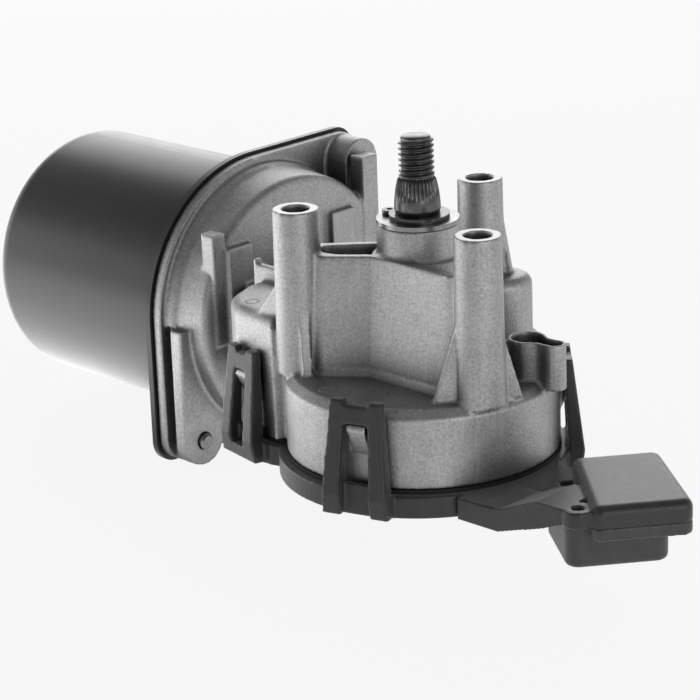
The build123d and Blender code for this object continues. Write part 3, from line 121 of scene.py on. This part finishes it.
# %% Colours and shader nodes
def linear(hex_colour):
    """Linear RGBA of an sRGB colour such as "#8a8a8a"."""
    channels = [int(hex_colour[i:i + 2], 16) / 255 for i in (1, 3, 5)]
    return [c / 12.92 if c <= 0.04045 else ((c + 0.055) / 1.055) ** 2.4 for c in channels] + [1.0]


def add_node(tree, kind, settings=None, **inputs):
    """Adds a shader node. An input is a value, or an output socket to link from.

    An input is named as on the node, with _ for a space, or by its number as in _0.
    """
    node = tree.nodes.new(kind)
    for name, value in (settings or {}).items():
        setattr(node, name, value)
    for name, value in inputs.items():
        key = name.replace("_", " ")
        socket = node.inputs[int(key[1:])] if key[1:].isdigit() else node.inputs[key]
        if isinstance(value, bpy.types.NodeSocket):
            tree.links.new(value, socket)
        else:
            socket.default_value = value
    return node


def new_material(name):
    """An empty node material: returns it, its tree and its principled shader."""
    material = bpy.data.materials.new(name)
    material.use_nodes = True
    tree = material.node_tree
    tree.nodes.clear()
    shader = add_node(tree, "ShaderNodeBsdfPrincipled")
    output = add_node(tree, "ShaderNodeOutputMaterial")
    tree.links.new(shader.outputs["BSDF"], output.inputs["Surface"])
    print("material", name)
    return material, tree, shader


# %% [markdown]
# Real surfaces vary from place to place, in patterns of a known size. The patterns are set in
# millimetres on the part itself, so they are the same in every view and move with the part. Noise
# seldom reaches the ends of its range, so a colour ramp on it covers only the middle.


# %% Patterns in millimetres
CLOUDS_FROM = 0.3
CLOUDS_TO = 0.72


def place(tree):
    """The point on the part in metres, the same in every view."""
    return add_node(tree, "ShaderNodeTexCoord").outputs["Object"]


def per_mm(size):
    """The texture scale that makes a pattern's cells that many millimetres wide."""
    return 1 / (size * MM)


def noise(tree, size, detail=3.0, roughness=0.55):
    """Cloudy variation with blotches of that many millimetres."""
    return add_node(tree, "ShaderNodeTexNoise", Vector=place(tree), Scale=per_mm(size),
                    Detail=detail, Roughness=roughness).outputs["Fac"]


def ramp(tree, fac, low, high, dark, light):
    """A colour ramp between two hex colours over part of the range."""
    node = add_node(tree, "ShaderNodeValToRGB", Fac=fac)
    node.color_ramp.elements[0].position = low
    node.color_ramp.elements[0].color = linear(dark)
    node.color_ramp.elements[1].position = high
    node.color_ramp.elements[1].color = linear(light)
    return node.outputs["Color"]


def spread(tree, fac, low, high, start=0.0, end=1.0):
    """Maps a value from the range start to end onto the range low to high."""
    return add_node(tree, "ShaderNodeMapRange", Value=fac, From_Min=start, From_Max=end,
                    To_Min=low, To_Max=high).outputs["Result"]


def blended(tree, share, first, second):
    """The first colour where the share is 0, and the second where it is 1."""
    return add_node(tree, "ShaderNodeMix", {"data_type": "RGBA"}, _0=share, _6=first,
                    _7=second).outputs[2]


def bump(tree, height, depth, normal=None):
    """A bump that is so many millimetres deep."""
    inputs = {"Height": height, "Distance": depth * MM, "Strength": 1.0}
    if normal is not None:
        inputs["Normal"] = normal
    return add_node(tree, "ShaderNodeBump", **inputs).outputs["Normal"]


# %% [markdown]
# The housing is a die casting of an aluminium-silicon alloy. The molten metal is shot into a steel
# die, which leaves a skin that is grey rather than bright, a fine grain from the tumbling that takes
# the flash off, cloudy flow marks, and edges that are rubbed lighter. A metal has its colour in its
# reflections, so the grey goes into the base colour with the metallic value high, and the roughness
# is high and uneven. Fine draw lines run up the walls, where the casting slid out of the die, and
# light specks lie where tumbling has polished the highest spots.
# The real grain is about 0.2 mm; it is drawn coarser so that it shows at this distance.

# %% Skin of the die-cast aluminium
CAST_FLOW = 9.0
CAST_GRAIN = 0.55
CAST_SPECK = 1.7
DRAW_LINE = 1.1
DRAW_STRETCH = 0.06
SKIN_GREY = "#8f8f8f"
FLOW_GREY = "#bababa"
GRAIN_GREY = "#d4d4d4"
GRAIN_FROM = 0.28
GRAIN_TO = 0.75
GRAIN_SHARE = 0.5
# A mark is absent where its pattern is below start, and covers its share of the skin above end.
DRAW_MARKS = {"share": 0.3, "start": 0.56, "end": 0.74, "grey": "#d0d0d0"}
SPECK_MARKS = {"share": 0.8, "start": 0.66, "end": 0.74, "grey": "#e2e2e2"}
RUBBED_MARKS = {"share": 0.6, "start": 0.52, "end": 0.62, "grey": "#e6e6e6"}


def marked(tree, skin, pattern, share, start, end, grey):
    """Lays the grey of a mark over the skin."""
    return blended(tree, spread(tree, pattern, 0.0, share, start, end), skin, linear(grey))


def cast_skin(tree, flow, grain):
    """The casting's grey, with its draw lines, its specks and its rubbed edges."""
    skin = blended(tree, GRAIN_SHARE,
                   ramp(tree, flow, CLOUDS_FROM, CLOUDS_TO, SKIN_GREY, FLOW_GREY),
                   ramp(tree, grain, GRAIN_FROM, GRAIN_TO, SKIN_GREY, GRAIN_GREY))
    along = add_node(tree, "ShaderNodeMapping", Vector=place(tree), Scale=(1, 1, DRAW_STRETCH))
    lines = add_node(tree, "ShaderNodeTexNoise", Vector=along.outputs["Vector"],
                     Scale=per_mm(DRAW_LINE), Detail=4.0, Roughness=0.6).outputs["Fac"]
    worn = add_node(tree, "ShaderNodeNewGeometry").outputs["Pointiness"]
    skin = marked(tree, skin, lines, **DRAW_MARKS)
    skin = marked(tree, skin, noise(tree, CAST_SPECK, detail=5, roughness=0.7), **SPECK_MARKS)
    return marked(tree, skin, worn, **RUBBED_MARKS)


# %% [markdown]
# The corners are painted darker: this is painted shade in the base colour.
# An ambient occlusion node finds them: it tells how much of a point's surroundings is open, and the
# more shut in a point is, the more of a dark grey goes into its colour. Where the pins that push the
# casting out of the die ended, a fine ring stands on the metal. The tops of the three posts are faced
# off in a mill, so above a plane just under them the metal is lighter and smoother, without the painted
# shade.

# %% Die-cast aluminium
CORNER_REACH = 13.0
CORNER_SAMPLES = 6
PAINTED_CORNER_SHADE = 0.85
CORNER_SHUT = 0.15
CORNER_OPEN = 0.85
PAINTED_SHADE_GREY = "#424242"
EJECTOR_MARKS = ((-39.0, -14.5, -26.0), (-5.0, -25.5, -37.0), (12.0, 22.0, -37.0))
EJECTOR_R = 1.5
EJECTOR_LINE = 0.3
EJECTOR_DEPTH = 0.2
FACED_BELOW_TOP = 0.25
FACED_FADE = 0.1
FACED_GREY = "#b2b2b2"
FACED_ROUGHNESS = 0.42
CAST_SMOOTHEST = 0.44
CAST_ROUGHEST = 0.58
CAST_WAVE = 2.6
CAST_WAVE_DEPTH = 0.05
CAST_GRAIN_DEPTH = 0.03


def ejector_rings(tree, relief):
    """Adds the fine ring that each ejector pin left to the relief."""
    for centre in EJECTOR_MARKS:
        away = add_node(tree, "ShaderNodeVectorMath", {"operation": "DISTANCE"}, _0=place(tree),
                        _1=Vector(centre) * MM).outputs["Value"]
        from_line = add_node(tree, "ShaderNodeMath", {"operation": "SUBTRACT"}, _0=away,
                             _1=EJECTOR_R * MM).outputs["Value"]
        off_line = add_node(tree, "ShaderNodeMath", {"operation": "ABSOLUTE"},
                            _0=from_line).outputs["Value"]
        ring = spread(tree, off_line, 1.0, 0.0, 0.0, EJECTOR_LINE * MM)
        relief = bump(tree, ring, EJECTOR_DEPTH, relief)
    return relief


def die_cast_aluminium():
    """Grey cast skin with painted shade in its corners, ejector rings and faced post tops."""
    material, tree, shader = new_material("die_cast_aluminium")
    flow = noise(tree, CAST_FLOW, detail=4, roughness=0.6)
    grain = noise(tree, CAST_GRAIN, detail=2, roughness=0.6)
    skin = cast_skin(tree, flow, grain)
    # Painted shade: the less open a point's surroundings, the more dark grey goes into its base colour.
    open_sky = add_node(tree, "ShaderNodeAmbientOcclusion", {"samples": CORNER_SAMPLES},
                        Distance=CORNER_REACH * MM).outputs["AO"]
    corner = spread(tree, open_sky, PAINTED_CORNER_SHADE, 0.0, CORNER_SHUT, CORNER_OPEN)
    skin = blended(tree, corner, skin, linear(PAINTED_SHADE_GREY))
    height = add_node(tree, "ShaderNodeSeparateXYZ", Vector=place(tree)).outputs["Z"]
    faced = spread(tree, height, 0.0, 1.0, -(FACED_BELOW_TOP + FACED_FADE) * MM,
                   -FACED_BELOW_TOP * MM)
    skin = blended(tree, faced, skin, linear(FACED_GREY))
    tree.links.new(skin, shader.inputs["Base Color"])
    shader.inputs["Metallic"].default_value = 1.0
    rough = spread(tree, flow, CAST_SMOOTHEST, CAST_ROUGHEST)
    smooth = add_node(tree, "ShaderNodeMix", {"data_type": "FLOAT"}, _0=faced, _2=rough,
                      _3=FACED_ROUGHNESS)
    tree.links.new(smooth.outputs[0], shader.inputs["Roughness"])
    wavy = bump(tree, noise(tree, CAST_WAVE, detail=3, roughness=0.5), CAST_WAVE_DEPTH)
    relief = ejector_rings(tree, wavy)
    tree.links.new(bump(tree, grain, CAST_GRAIN_DEPTH, relief), shader.inputs["Normal"])
    return material


# %% [markdown]
# The can is deep-drawn steel under a satin black lacquer. Lacquer is a film of resin, so it isn't
# metallic: a near-black base with an IOR of about 1.5 and a medium roughness. Fine dust and the pigment
# that stands proud of the film catch light that grazes it, which sheen gives. The sprayed film keeps a
# very shallow waviness as it dries.

# %% Satin black lacquer
LACQUER_BLACK = "#161616"
LACQUER_GREY = "#1d1d1d"
LACQUER_IOR = 1.5
LACQUER_CLOUDS = 14
LACQUER_CLOUDS_TO = 0.7
LACQUER_HAZE = 6
LACQUER_SMOOTHEST = 0.3
LACQUER_ROUGHEST = 0.4
DUST_SHEEN = 1.0
DUST_SHEEN_ROUGHNESS = 0.32
ORANGE_PEEL = 1.6
ORANGE_PEEL_DEPTH = 0.004


def satin_black_lacquer():
    """Near-black film with a soft shine and a grey bloom at grazing light."""
    material, tree, shader = new_material("satin_black_lacquer")
    clouds = ramp(tree, noise(tree, LACQUER_CLOUDS), CLOUDS_FROM, LACQUER_CLOUDS_TO,
                  LACQUER_BLACK, LACQUER_GREY)
    tree.links.new(clouds, shader.inputs["Base Color"])
    shader.inputs["IOR"].default_value = LACQUER_IOR
    shader.inputs["Sheen Weight"].default_value = DUST_SHEEN
    shader.inputs["Sheen Roughness"].default_value = DUST_SHEEN_ROUGHNESS
    shader.inputs["Sheen Tint"].default_value = linear("#ffffff")
    haze = spread(tree, noise(tree, LACQUER_HAZE), LACQUER_SMOOTHEST, LACQUER_ROUGHEST)
    tree.links.new(haze, shader.inputs["Roughness"])
    peel = bump(tree, noise(tree, ORANGE_PEEL, detail=2), ORANGE_PEEL_DEPTH)
    tree.links.new(peel, shader.inputs["Normal"])
    return material


# %% [markdown]
# Cover, clips and connector are nylon filled with glass fibre, moulded black or dark grey. The fibres
# make the skin slightly mottled and dull, and lie bare at the surface, which scatters light that
# grazes it: that is the sheen. The mould's spark-eroded faces leave a fine texture of about 0.3 mm.

# %% Glass-filled nylon
NYLON_IOR = 1.53
FIBRE_MOTTLE = 3.2
FIBRE_DULL = 1.2
FIBRE_SHEEN = 0.5
FIBRE_SHEEN_ROUGHNESS = 0.4
SINK_WAVE = 5.0
SINK_DEPTH = 0.03
SPARK_TEXTURE = 0.35
SPARK_DEPTH = 0.012


def filled_nylon(name, dark, light, smoothest, roughest):
    """Mottled dark plastic with the fine texture of its mould."""
    material, tree, shader = new_material(name)
    mottle = noise(tree, FIBRE_MOTTLE, detail=4, roughness=0.6)
    colour = ramp(tree, mottle, CLOUDS_FROM, CLOUDS_TO, dark, light)
    tree.links.new(colour, shader.inputs["Base Color"])
    shader.inputs["IOR"].default_value = NYLON_IOR
    shader.inputs["Sheen Weight"].default_value = FIBRE_SHEEN
    shader.inputs["Sheen Roughness"].default_value = FIBRE_SHEEN_ROUGHNESS
    dull = spread(tree, noise(tree, FIBRE_DULL), smoothest, roughest)
    tree.links.new(dull, shader.inputs["Roughness"])
    wavy = bump(tree, noise(tree, SINK_WAVE, detail=2), SINK_DEPTH)
    fine = bump(tree, noise(tree, SPARK_TEXTURE, detail=2), SPARK_DEPTH, wavy)
    tree.links.new(fine, shader.inputs["Normal"])
    return material


# %% [markdown]
# The other parts differ in colour, in roughness and in the size of the marks that their making left:
# a ground shaft is smooth and even, sheet metal has a faint rolled grain, and pressed powder and
# rubber are dull. One function serves them all, with two greys or colours, the smoothest and the
# roughest value, and the width of the marks in millimetres. Only the metals get a metallic value.

# %% Worked metals and small moulded parts
CLOUDS_OVER_MARK = 3
MARK_OVER_GROOVE = 2


def worked_part(name, dark, light, smoothest, roughest, mark, depth=0.004, metallic=1.0):
    """A finish with clouds, dull spots and grooves that follow from the width of its marks."""
    material, tree, shader = new_material(name)
    clouds = noise(tree, mark * CLOUDS_OVER_MARK, detail=4, roughness=0.6)
    colour = ramp(tree, clouds, CLOUDS_FROM, CLOUDS_TO, dark, light)
    tree.links.new(colour, shader.inputs["Base Color"])
    shader.inputs["Metallic"].default_value = metallic
    dull = spread(tree, noise(tree, mark), smoothest, roughest)
    tree.links.new(dull, shader.inputs["Roughness"])
    grooves = bump(tree, noise(tree, mark / MARK_OVER_GROOVE, detail=2), depth)
    tree.links.new(grooves, shader.inputs["Normal"])
    return material


# %% [markdown]
# The record names a finish for each part. The list below says what each of those names looks like:
# its two colours, its smoothest and its roughest value, and for the worked parts the marks' width in
# millimetres, their depth where it isn't the usual one, and a 0 where the material is no metal.

# %% Every finish
finishes = {
    "cast_aluminium": die_cast_aluminium(),
    "black_lacquer": satin_black_lacquer(),
    "black_nylon": filled_nylon("black_filled_nylon", "#2a2a2a", "#363636", 0.34, 0.48),
    "grey_nylon": filled_nylon("dark_grey_filled_nylon", "#3e3e3e", "#4a4a4a", 0.36, 0.5),
    # A phosphate bath turns steel dark grey and keeps oil on it: dark, with a soft shine.
    "dark_steel": worked_part("phosphated_steel", "#4c4c4c", "#6c6c6c", 0.24, 0.36, 0.6),
    # Hardened spring strip under a film of oil: dark and smooth.
    "spring_steel": worked_part("oiled_spring_steel", "#4c4c4c", "#686868", 0.22, 0.34, 0.8),
    # Zinc plating: light grey, with a dull bloom.
    "zinc_steel": worked_part("zinc_plated_steel", "#7e7e7e", "#9c9c9c", 0.24, 0.36, 0.7),
    # Ground steel: the lightest and the smoothest of the steels.
    "ground_steel": worked_part("ground_steel", "#9a9a9b", "#b9b9ba", 0.16, 0.28, 0.4),
    # Pressed bronze powder full of oil: brown and dull, with fine pores.
    "bronze": worked_part("sintered_bronze", "#8c6a45", "#a98357", 0.42, 0.58, 0.5, 0.01),
    # Copper wire under clear enamel: red brown and glossy.
    "copper": worked_part("enamelled_copper", "#9c5a35", "#c07a4a", 0.2, 0.34, 1.2),
    # Rolled brass strip: yellow and smooth.
    "contact_brass": worked_part("rolled_brass", "#b1914f", "#cdb070", 0.2, 0.32, 0.9),
    # Ferrite is a ceramic: nearly black and dull.
    "ferrite": worked_part("sintered_ferrite", "#2c2b2b", "#3a3939", 0.6, 0.8, 0.6, 0.02, 0.0),
    # Thin steel sheets under varnish: blue grey.
    "laminations": worked_part("stamped_electrical_steel", "#4b4c50", "#63646a", 0.35, 0.5, 0.5),
    # Pressed carbon: black and dull.
    "carbon": worked_part("pressed_carbon", "#232323", "#2e2e2e", 0.6, 0.75, 0.4, 0.01, 0.0),
    # Acetal in its own colour: creamy and slippery.
    "acetal": worked_part("moulded_acetal", "#cfc9b4", "#dcd7c6", 0.3, 0.4, 2.0, 0.004, 0.0),
    # Phenolic board: brown and half dull.
    "phenolic": worked_part("moulded_phenolic", "#4a2a17", "#5c3720", 0.35, 0.5, 0.8, 0.01, 0.0),
    # Rubber: black and dull.
    "nitrile": worked_part("nitrile_rubber", "#121212", "#1a1a1a", 0.6, 0.75, 0.6, 0.01, 0.0),
}
slot_of = {entry["node"]: entry["material_slot"] for entry in frame["record"]["subparts"]}


def finish_part(piece, slot):
    """Gives a piece the finish of one slot of the record."""
    piece.data.materials.clear()
    piece.data.materials.append(finishes[slot])


for name, part in nodes.items():
    finish_part(part, slot_of[name])
print("finishes", len(finishes))

# %% [markdown]
# A casting or a moulding has no truly sharp edge: the metal rounds off where the die parts, and every
# inner corner has a small fillet so that it fills and lets go. Rather than rounding edges one by one,
# the closed solid is rebuilt from small cubes, which smoothing then melts together, as a casting's
# corners are. Last it is thinned out where it is flat.


# %% Standing in for a CAD part
def stand_in(piece, node, body):
    """A new piece takes the place, the finish and the body of a CAD part."""
    piece.data.polygons.foreach_set("use_smooth", [True] * len(piece.data.polygons))
    finish_part(piece, slot_of[node])
    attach(piece, body)
    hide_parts(node)
    print(piece.name, "faces", len(piece.data.polygons))


# %% Softened castings and mouldings
CELL = 0.4
WELD = 0.001
MELT = 0.5


def softened(node, passes, keep):
    """A copy of a part with its edges and inner corners rounded by about one cell, in place of it."""
    mesh = nodes[node].data.copy()
    welded = bmesh.new()
    welded.from_mesh(mesh)
    bmesh.ops.remove_doubles(welded, verts=welded.verts, dist=WELD * MM)
    welded.to_mesh(mesh)
    welded.free()
    piece = bpy.data.objects.new(node + "_soft", mesh)
    bpy.context.collection.objects.link(piece)
    rebuild = piece.modifiers.new("rebuild", "REMESH")
    rebuild.mode = "VOXEL"
    rebuild.voxel_size = CELL * MM
    melt = piece.modifiers.new("melt", "SMOOTH")
    melt.factor = MELT
    melt.iterations = passes
    thin = piece.modifiers.new("thin", "DECIMATE")
    thin.ratio = keep
    bpy.context.view_layer.update()
    depsgraph = bpy.context.evaluated_depsgraph_get()
    made = bpy.data.meshes.new_from_object(piece.evaluated_get(depsgraph))
    piece.modifiers.clear()
    piece.data = made
    stand_in(piece, node, "root")


softened("gear_housing", passes=3, keep=0.2)
softened("gear_cover", passes=2, keep=0.35)
softened("connector_socket", passes=2, keep=0.35)

# %% [markdown]
# The spindle is turned from steel: an M8 thread for the wiper arm's nut, and below it a cone with a
# rolled knurl that bites into the arm. A thread could be a screw modifier on a small triangle, but then
# its ends need trimming. Here the whole spindle is one skin of rings: each point's distance from the
# axis comes from the plain profile, less the depth of the groove at that angle and height. Where a
# groove runs out, its depth fades.


# %% Turned parts with cut grooves
def fade(value, start, end):
    """0 up to start, 1 from end on, and a straight rise between."""
    return min(1.0, max(0.0, (value - start) / (end - start)))


def turned(name, rings, segments, cut):
    """A closed skin of rings, each (radius, height) in mm along +Z; cut gives the groove's depth."""
    made = bmesh.new()
    loops = []
    for radius, height in rings:
        loop = []
        for step in range(segments):
            angle = math.tau * step / segments
            reach = (radius - cut(height, angle, radius)) * MM
            point = (reach * math.cos(angle), reach * math.sin(angle), height * MM)
            loop.append(made.verts.new(point))
        loops.append(loop)
    for low_loop, high_loop in zip(loops, loops[1:]):
        for step in range(segments):
            after = (step + 1) % segments
            made.faces.new((low_loop[step], low_loop[after], high_loop[after], high_loop[step]))
    made.faces.new(list(reversed(loops[0])))
    made.faces.new(loops[-1])
    mesh = bpy.data.meshes.new(name)
    made.to_mesh(mesh)
    made.free()
    piece = bpy.data.objects.new(name, mesh)
    bpy.context.collection.objects.link(piece)
    return piece


# %% [markdown]
# The spindle's lengths and main radii are those of its solid, in millimetres; only the cone is a
# little bellied here and the relief under the thread a little shallower. The thread is an M8 x 1.25
# with flat crests and roots of an eighth of its pitch. The knurl has 32 teeth with round flanks,
# deepest near the top of the cone, and each groove ends in a point about two thirds of the way down,
# where the rolling tool lifted out.

# %% Thread and knurl
THREAD_R = 4.0
THREAD_PITCH = 1.25
THREAD_DEPTH = 0.72
THREAD_FLAT = 0.125
THREAD_RUN_OUT = 0.5
THREAD_LENGTH = 8.8
RELIEF_LENGTH = 0.6
CONE_LENGTH = 7.1
CONE_TOP_R = 4.2
CONE_BOTTOM_R = 5.15
CONE_BULGE = 0.25
KNURL_TEETH = 32
KNURL_DEPTH = 0.55
KNURL_END = 0.36
KNURL_RUN_OUT = 0.3
KNURL_CREST = 1.3
EDGE_MARGIN = 0.01

SHAFT_TOP = cad_high.z / MM
THREAD_FOOT = SHAFT_TOP - THREAD_LENGTH
CONE_TOP = THREAD_FOOT - RELIEF_LENGTH
CONE_FOOT = CONE_TOP - CONE_LENGTH


def thread_cut(height, angle):
    """Depth of the thread's groove."""
    turn = (height / THREAD_PITCH - angle / math.tau) % 1.0
    rise = abs(turn - 0.5) * 2
    return THREAD_DEPTH * fade(1 - rise, THREAD_FLAT, 1 - THREAD_FLAT)


def cone_radius(height):
    """The cone's radius, a little bellied between its ends."""
    share = (height - CONE_FOOT) / (CONE_TOP - CONE_FOOT)
    straight = CONE_BOTTOM_R + (CONE_TOP_R - CONE_BOTTOM_R) * share
    return straight + 4 * CONE_BULGE * share * (1 - share)


def spindle_cut(height, angle, radius):
    """Thread grooves on the top, knurl grooves on the cone, nothing elsewhere."""
    if height > THREAD_FOOT - EDGE_MARGIN:
        run_out = fade(height, THREAD_FOOT, THREAD_FOOT + THREAD_RUN_OUT * THREAD_PITCH)
        room = max(0.0, radius - (THREAD_R - THREAD_DEPTH))
        return min(thread_cut(height, angle) * run_out, room)
    if CONE_FOOT < height < CONE_TOP - EDGE_MARGIN:
        share = (height - CONE_FOOT) / (CONE_TOP - CONE_FOOT)
        wave = 0.5 + 0.5 * math.cos(KNURL_TEETH * angle)
        depth = KNURL_DEPTH * wave ** KNURL_CREST
        return depth * fade(share, KNURL_END, KNURL_END + KNURL_RUN_OUT)
    return 0.0


# %% [markdown]
# The rings run from the foot to the top: a chamfered foot, the groove of the circlip, the shoulder,
# the cone, the relief that the threading tool runs out into, and the thread with its chamfer. Each
# flat end has a small ring near its middle, so that the many-sided face that closes it stays small.

# %% Spindle
SHAFT_R = 5.0
SHAFT_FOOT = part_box("output_shaft")[0].z / MM
END_R = 0.4
FOOT_CHAMFER = 0.5
CLIP_SEAT = -2.3
CLIP_GROOVE_R = 4.6
CLIP_GROOVE_FOOT = CLIP_SEAT - 1.0
CLIP_GROOVE_TOP = CLIP_SEAT + 0.05
SHOULDER_DROP = 0.4
CONE_EDGE_IN = 0.25
CONE_EDGE_DOWN = 0.02
RELIEF_R = 3.35
RELIEF_EASE = 0.1
RELIEF_START = 0.12
THREAD_CHAMFER = 0.9
CREST_EASE = 0.02
CONE_STEPS = 16
THREAD_TURN_STEPS = 10
SEGMENTS_PER_TOOTH = 6

rings = [
    (END_R, SHAFT_FOOT), (SHAFT_R - FOOT_CHAMFER, SHAFT_FOOT),
    (SHAFT_R, SHAFT_FOOT + FOOT_CHAMFER),
    (SHAFT_R, CLIP_GROOVE_FOOT), (CLIP_GROOVE_R, CLIP_GROOVE_FOOT),
    (CLIP_GROOVE_R, CLIP_GROOVE_TOP), (SHAFT_R, CLIP_GROOVE_TOP),
    (SHAFT_R, CONE_FOOT - SHOULDER_DROP), (CONE_BOTTOM_R, CONE_FOOT),
]
for step in range(1, CONE_STEPS):
    height = CONE_FOOT + (CONE_TOP - CONE_FOOT) * step / CONE_STEPS
    rings.append((cone_radius(height), height))
rings += [
    (CONE_TOP_R - CONE_EDGE_IN, CONE_TOP - CONE_EDGE_DOWN),
    (RELIEF_R + RELIEF_EASE, CONE_TOP + RELIEF_START),
    (RELIEF_R, THREAD_FOOT - RELIEF_EASE),
]
thread_rings = int((SHAFT_TOP - THREAD_FOOT) / THREAD_PITCH * THREAD_TURN_STEPS)
for step in range(thread_rings + 1):
    height = THREAD_FOOT + (SHAFT_TOP - THREAD_FOOT) * step / thread_rings
    chamfered = THREAD_R - THREAD_CHAMFER + (SHAFT_TOP - height)
    rings.append((min(THREAD_R - CREST_EASE, chamfered), height))
rings.append((END_R, SHAFT_TOP))
segments = KNURL_TEETH * SEGMENTS_PER_TOOTH
print("spindle rings", len(rings), "of", segments, "points")
spindle = turned("spindle", rings, segments, spindle_cut)
stand_in(spindle, "output_shaft", "output")

# %% [markdown]
# The part stands over a pale floor. What the camera and shiny metal see of the floor is mostly a plain
# white, and a smaller share of it takes the light as paper does and keeps the part's shadow.

# %% Floor
FLOOR_GAP = 0.2
FLOOR_HALF = 3.0
FLOOR_PAPER = "#f4f4f4"
FLOOR_PAPER_ROUGHNESS = 0.9
BACKDROP_WHITE = "#fdfdfd"
SEEN_SHARE = 0.91
MIRRORED_SHARE = 0.85

floor_material, tree, shader = new_material("pale_floor")
shader.inputs["Base Color"].default_value = linear(FLOOR_PAPER)
shader.inputs["Roughness"].default_value = FLOOR_PAPER_ROUGHNESS
white = add_node(tree, "ShaderNodeEmission", Color=linear(BACKDROP_WHITE), Strength=1.0)
seen = add_node(tree, "ShaderNodeLightPath")
mirrored = add_node(tree, "ShaderNodeMath", {"operation": "MULTIPLY"},
                    _0=seen.outputs["Is Glossy Ray"], _1=MIRRORED_SHARE)
share = add_node(tree, "ShaderNodeMath", {"operation": "MULTIPLY_ADD"},
                 _0=seen.outputs["Is Camera Ray"], _1=SEEN_SHARE, _2=mirrored.outputs["Value"])
mix = add_node(tree, "ShaderNodeMixShader", _0=share.outputs["Value"],
               _1=shader.outputs["BSDF"], _2=white.outputs["Emission"])
tree.links.new(mix.outputs["Shader"], tree.nodes["Material Output"].inputs["Surface"])

floor_mesh = bpy.data.meshes.new("floor")
floor_height = cad_low.z - FLOOR_GAP * MM
corners = ((-1, -1), (1, -1), (1, 1), (-1, 1))
floor_mesh.from_pydata([(x * FLOOR_HALF, y * FLOOR_HALF, floor_height) for x, y in corners],
                       [], [(0, 1, 2, 3)])
floor_mesh.materials.append(floor_material)
floor = bpy.data.objects.new("floor", floor_mesh)
bpy.context.collection.objects.link(floor)
print("floor height in mm", round(floor_height / MM, 1))

# %% [markdown]
# Studio light as in a white tent: a pale background and pale walls, with less light from above and
# from the open side where the camera stands. Open faces of the casting then show their own grey, and
# faces that look at other faces darken by themselves, as metal does when it mirrors metal; the
# casting's corners are darkened further by painted shade in its base colour.

# %% Background
WORLD_LEVEL = 0.8
WORLD_TOP = 0.26
WORLD_TOP_START = 0.2
WORLD_TOP_END = 0.65
DARK_WAY = Vector((0.15, -0.98, 0.1))
DARK_LEVEL = 0.3
DARK_START = 0.45
DARK_END = 0.9

world = bpy.data.worlds.new("studio")
bpy.context.scene.world = world
world.use_nodes = True
tree = world.node_tree
tree.nodes.clear()
around_part = add_node(tree, "ShaderNodeTexCoord").outputs["Generated"]
way = add_node(tree, "ShaderNodeSeparateXYZ", Vector=around_part)
sky = spread(tree, way.outputs["Z"], WORLD_LEVEL, WORLD_TOP, WORLD_TOP_START, WORLD_TOP_END)
towards_dark = add_node(tree, "ShaderNodeVectorMath", {"operation": "DOT_PRODUCT"},
                        _0=around_part, _1=DARK_WAY)
dimmed = spread(tree, towards_dark.outputs["Value"], 1.0, DARK_LEVEL, DARK_START, DARK_END)
sky = add_node(tree, "ShaderNodeMath", {"operation": "MULTIPLY"}, _0=sky,
               _1=dimmed).outputs["Value"]
seen = add_node(tree, "ShaderNodeLightPath")
around = add_node(tree, "ShaderNodeBackground", Color=linear("#ffffff"), Strength=sky)
behind = add_node(tree, "ShaderNodeBackground", Color=linear(BACKDROP_WHITE), Strength=1.0)
mix = add_node(tree, "ShaderNodeMixShader", _0=seen.outputs["Is Camera Ray"],
               _1=around.outputs["Background"], _2=behind.outputs["Background"])
output = add_node(tree, "ShaderNodeOutputWorld")
tree.links.new(mix.outputs["Shader"], output.inputs["Surface"])
print("world", world.name)

# %% [markdown]
# Two soft lamps stand left and right, so that round forms are light at their sides and darker in their
# middle. A larger one behind on the left, and a light table that lies on the floor from under the
# can's end outwards, draw the bright bands along the lacquer. The lamps are hidden from the camera.

# %% Lamps
TABLE_SPOT = (-0.34, -0.1)


def soft_lamp(name, spot, aim, size, brightness):
    """A square lamp. Spot and aim are in metres; at brightness 1 its face is as bright as white."""
    lamp = bpy.data.lights.new(name, "AREA")
    lamp.shape = "SQUARE"
    lamp.size = size
    lamp.energy = brightness * math.pi * size * size
    holder = bpy.data.objects.new(name, lamp)
    holder.location = spot
    holder.rotation_mode = "QUATERNION"
    holder.rotation_quaternion = (Vector(aim) - Vector(spot)).to_track_quat("-Z", "Y")
    holder.visible_camera = False
    bpy.context.collection.objects.link(holder)
    print(name, "watts", round(lamp.energy, 2))


soft_lamp("left_lamp", (-1.0, -0.42, 0.0), CAMERA_AIM, size=0.6, brightness=1.7)
soft_lamp("right_lamp", (1.0, -0.35, 0.15), CAMERA_AIM, size=0.6, brightness=1.5)
soft_lamp("back_left_lamp", (-0.8, 0.75, 0.35), CAMERA_AIM, size=0.9, brightness=1.9)
soft_lamp("light_table", (*TABLE_SPOT, floor_height + MM), (*TABLE_SPOT, 1.0), size=0.45,
          brightness=1.8)
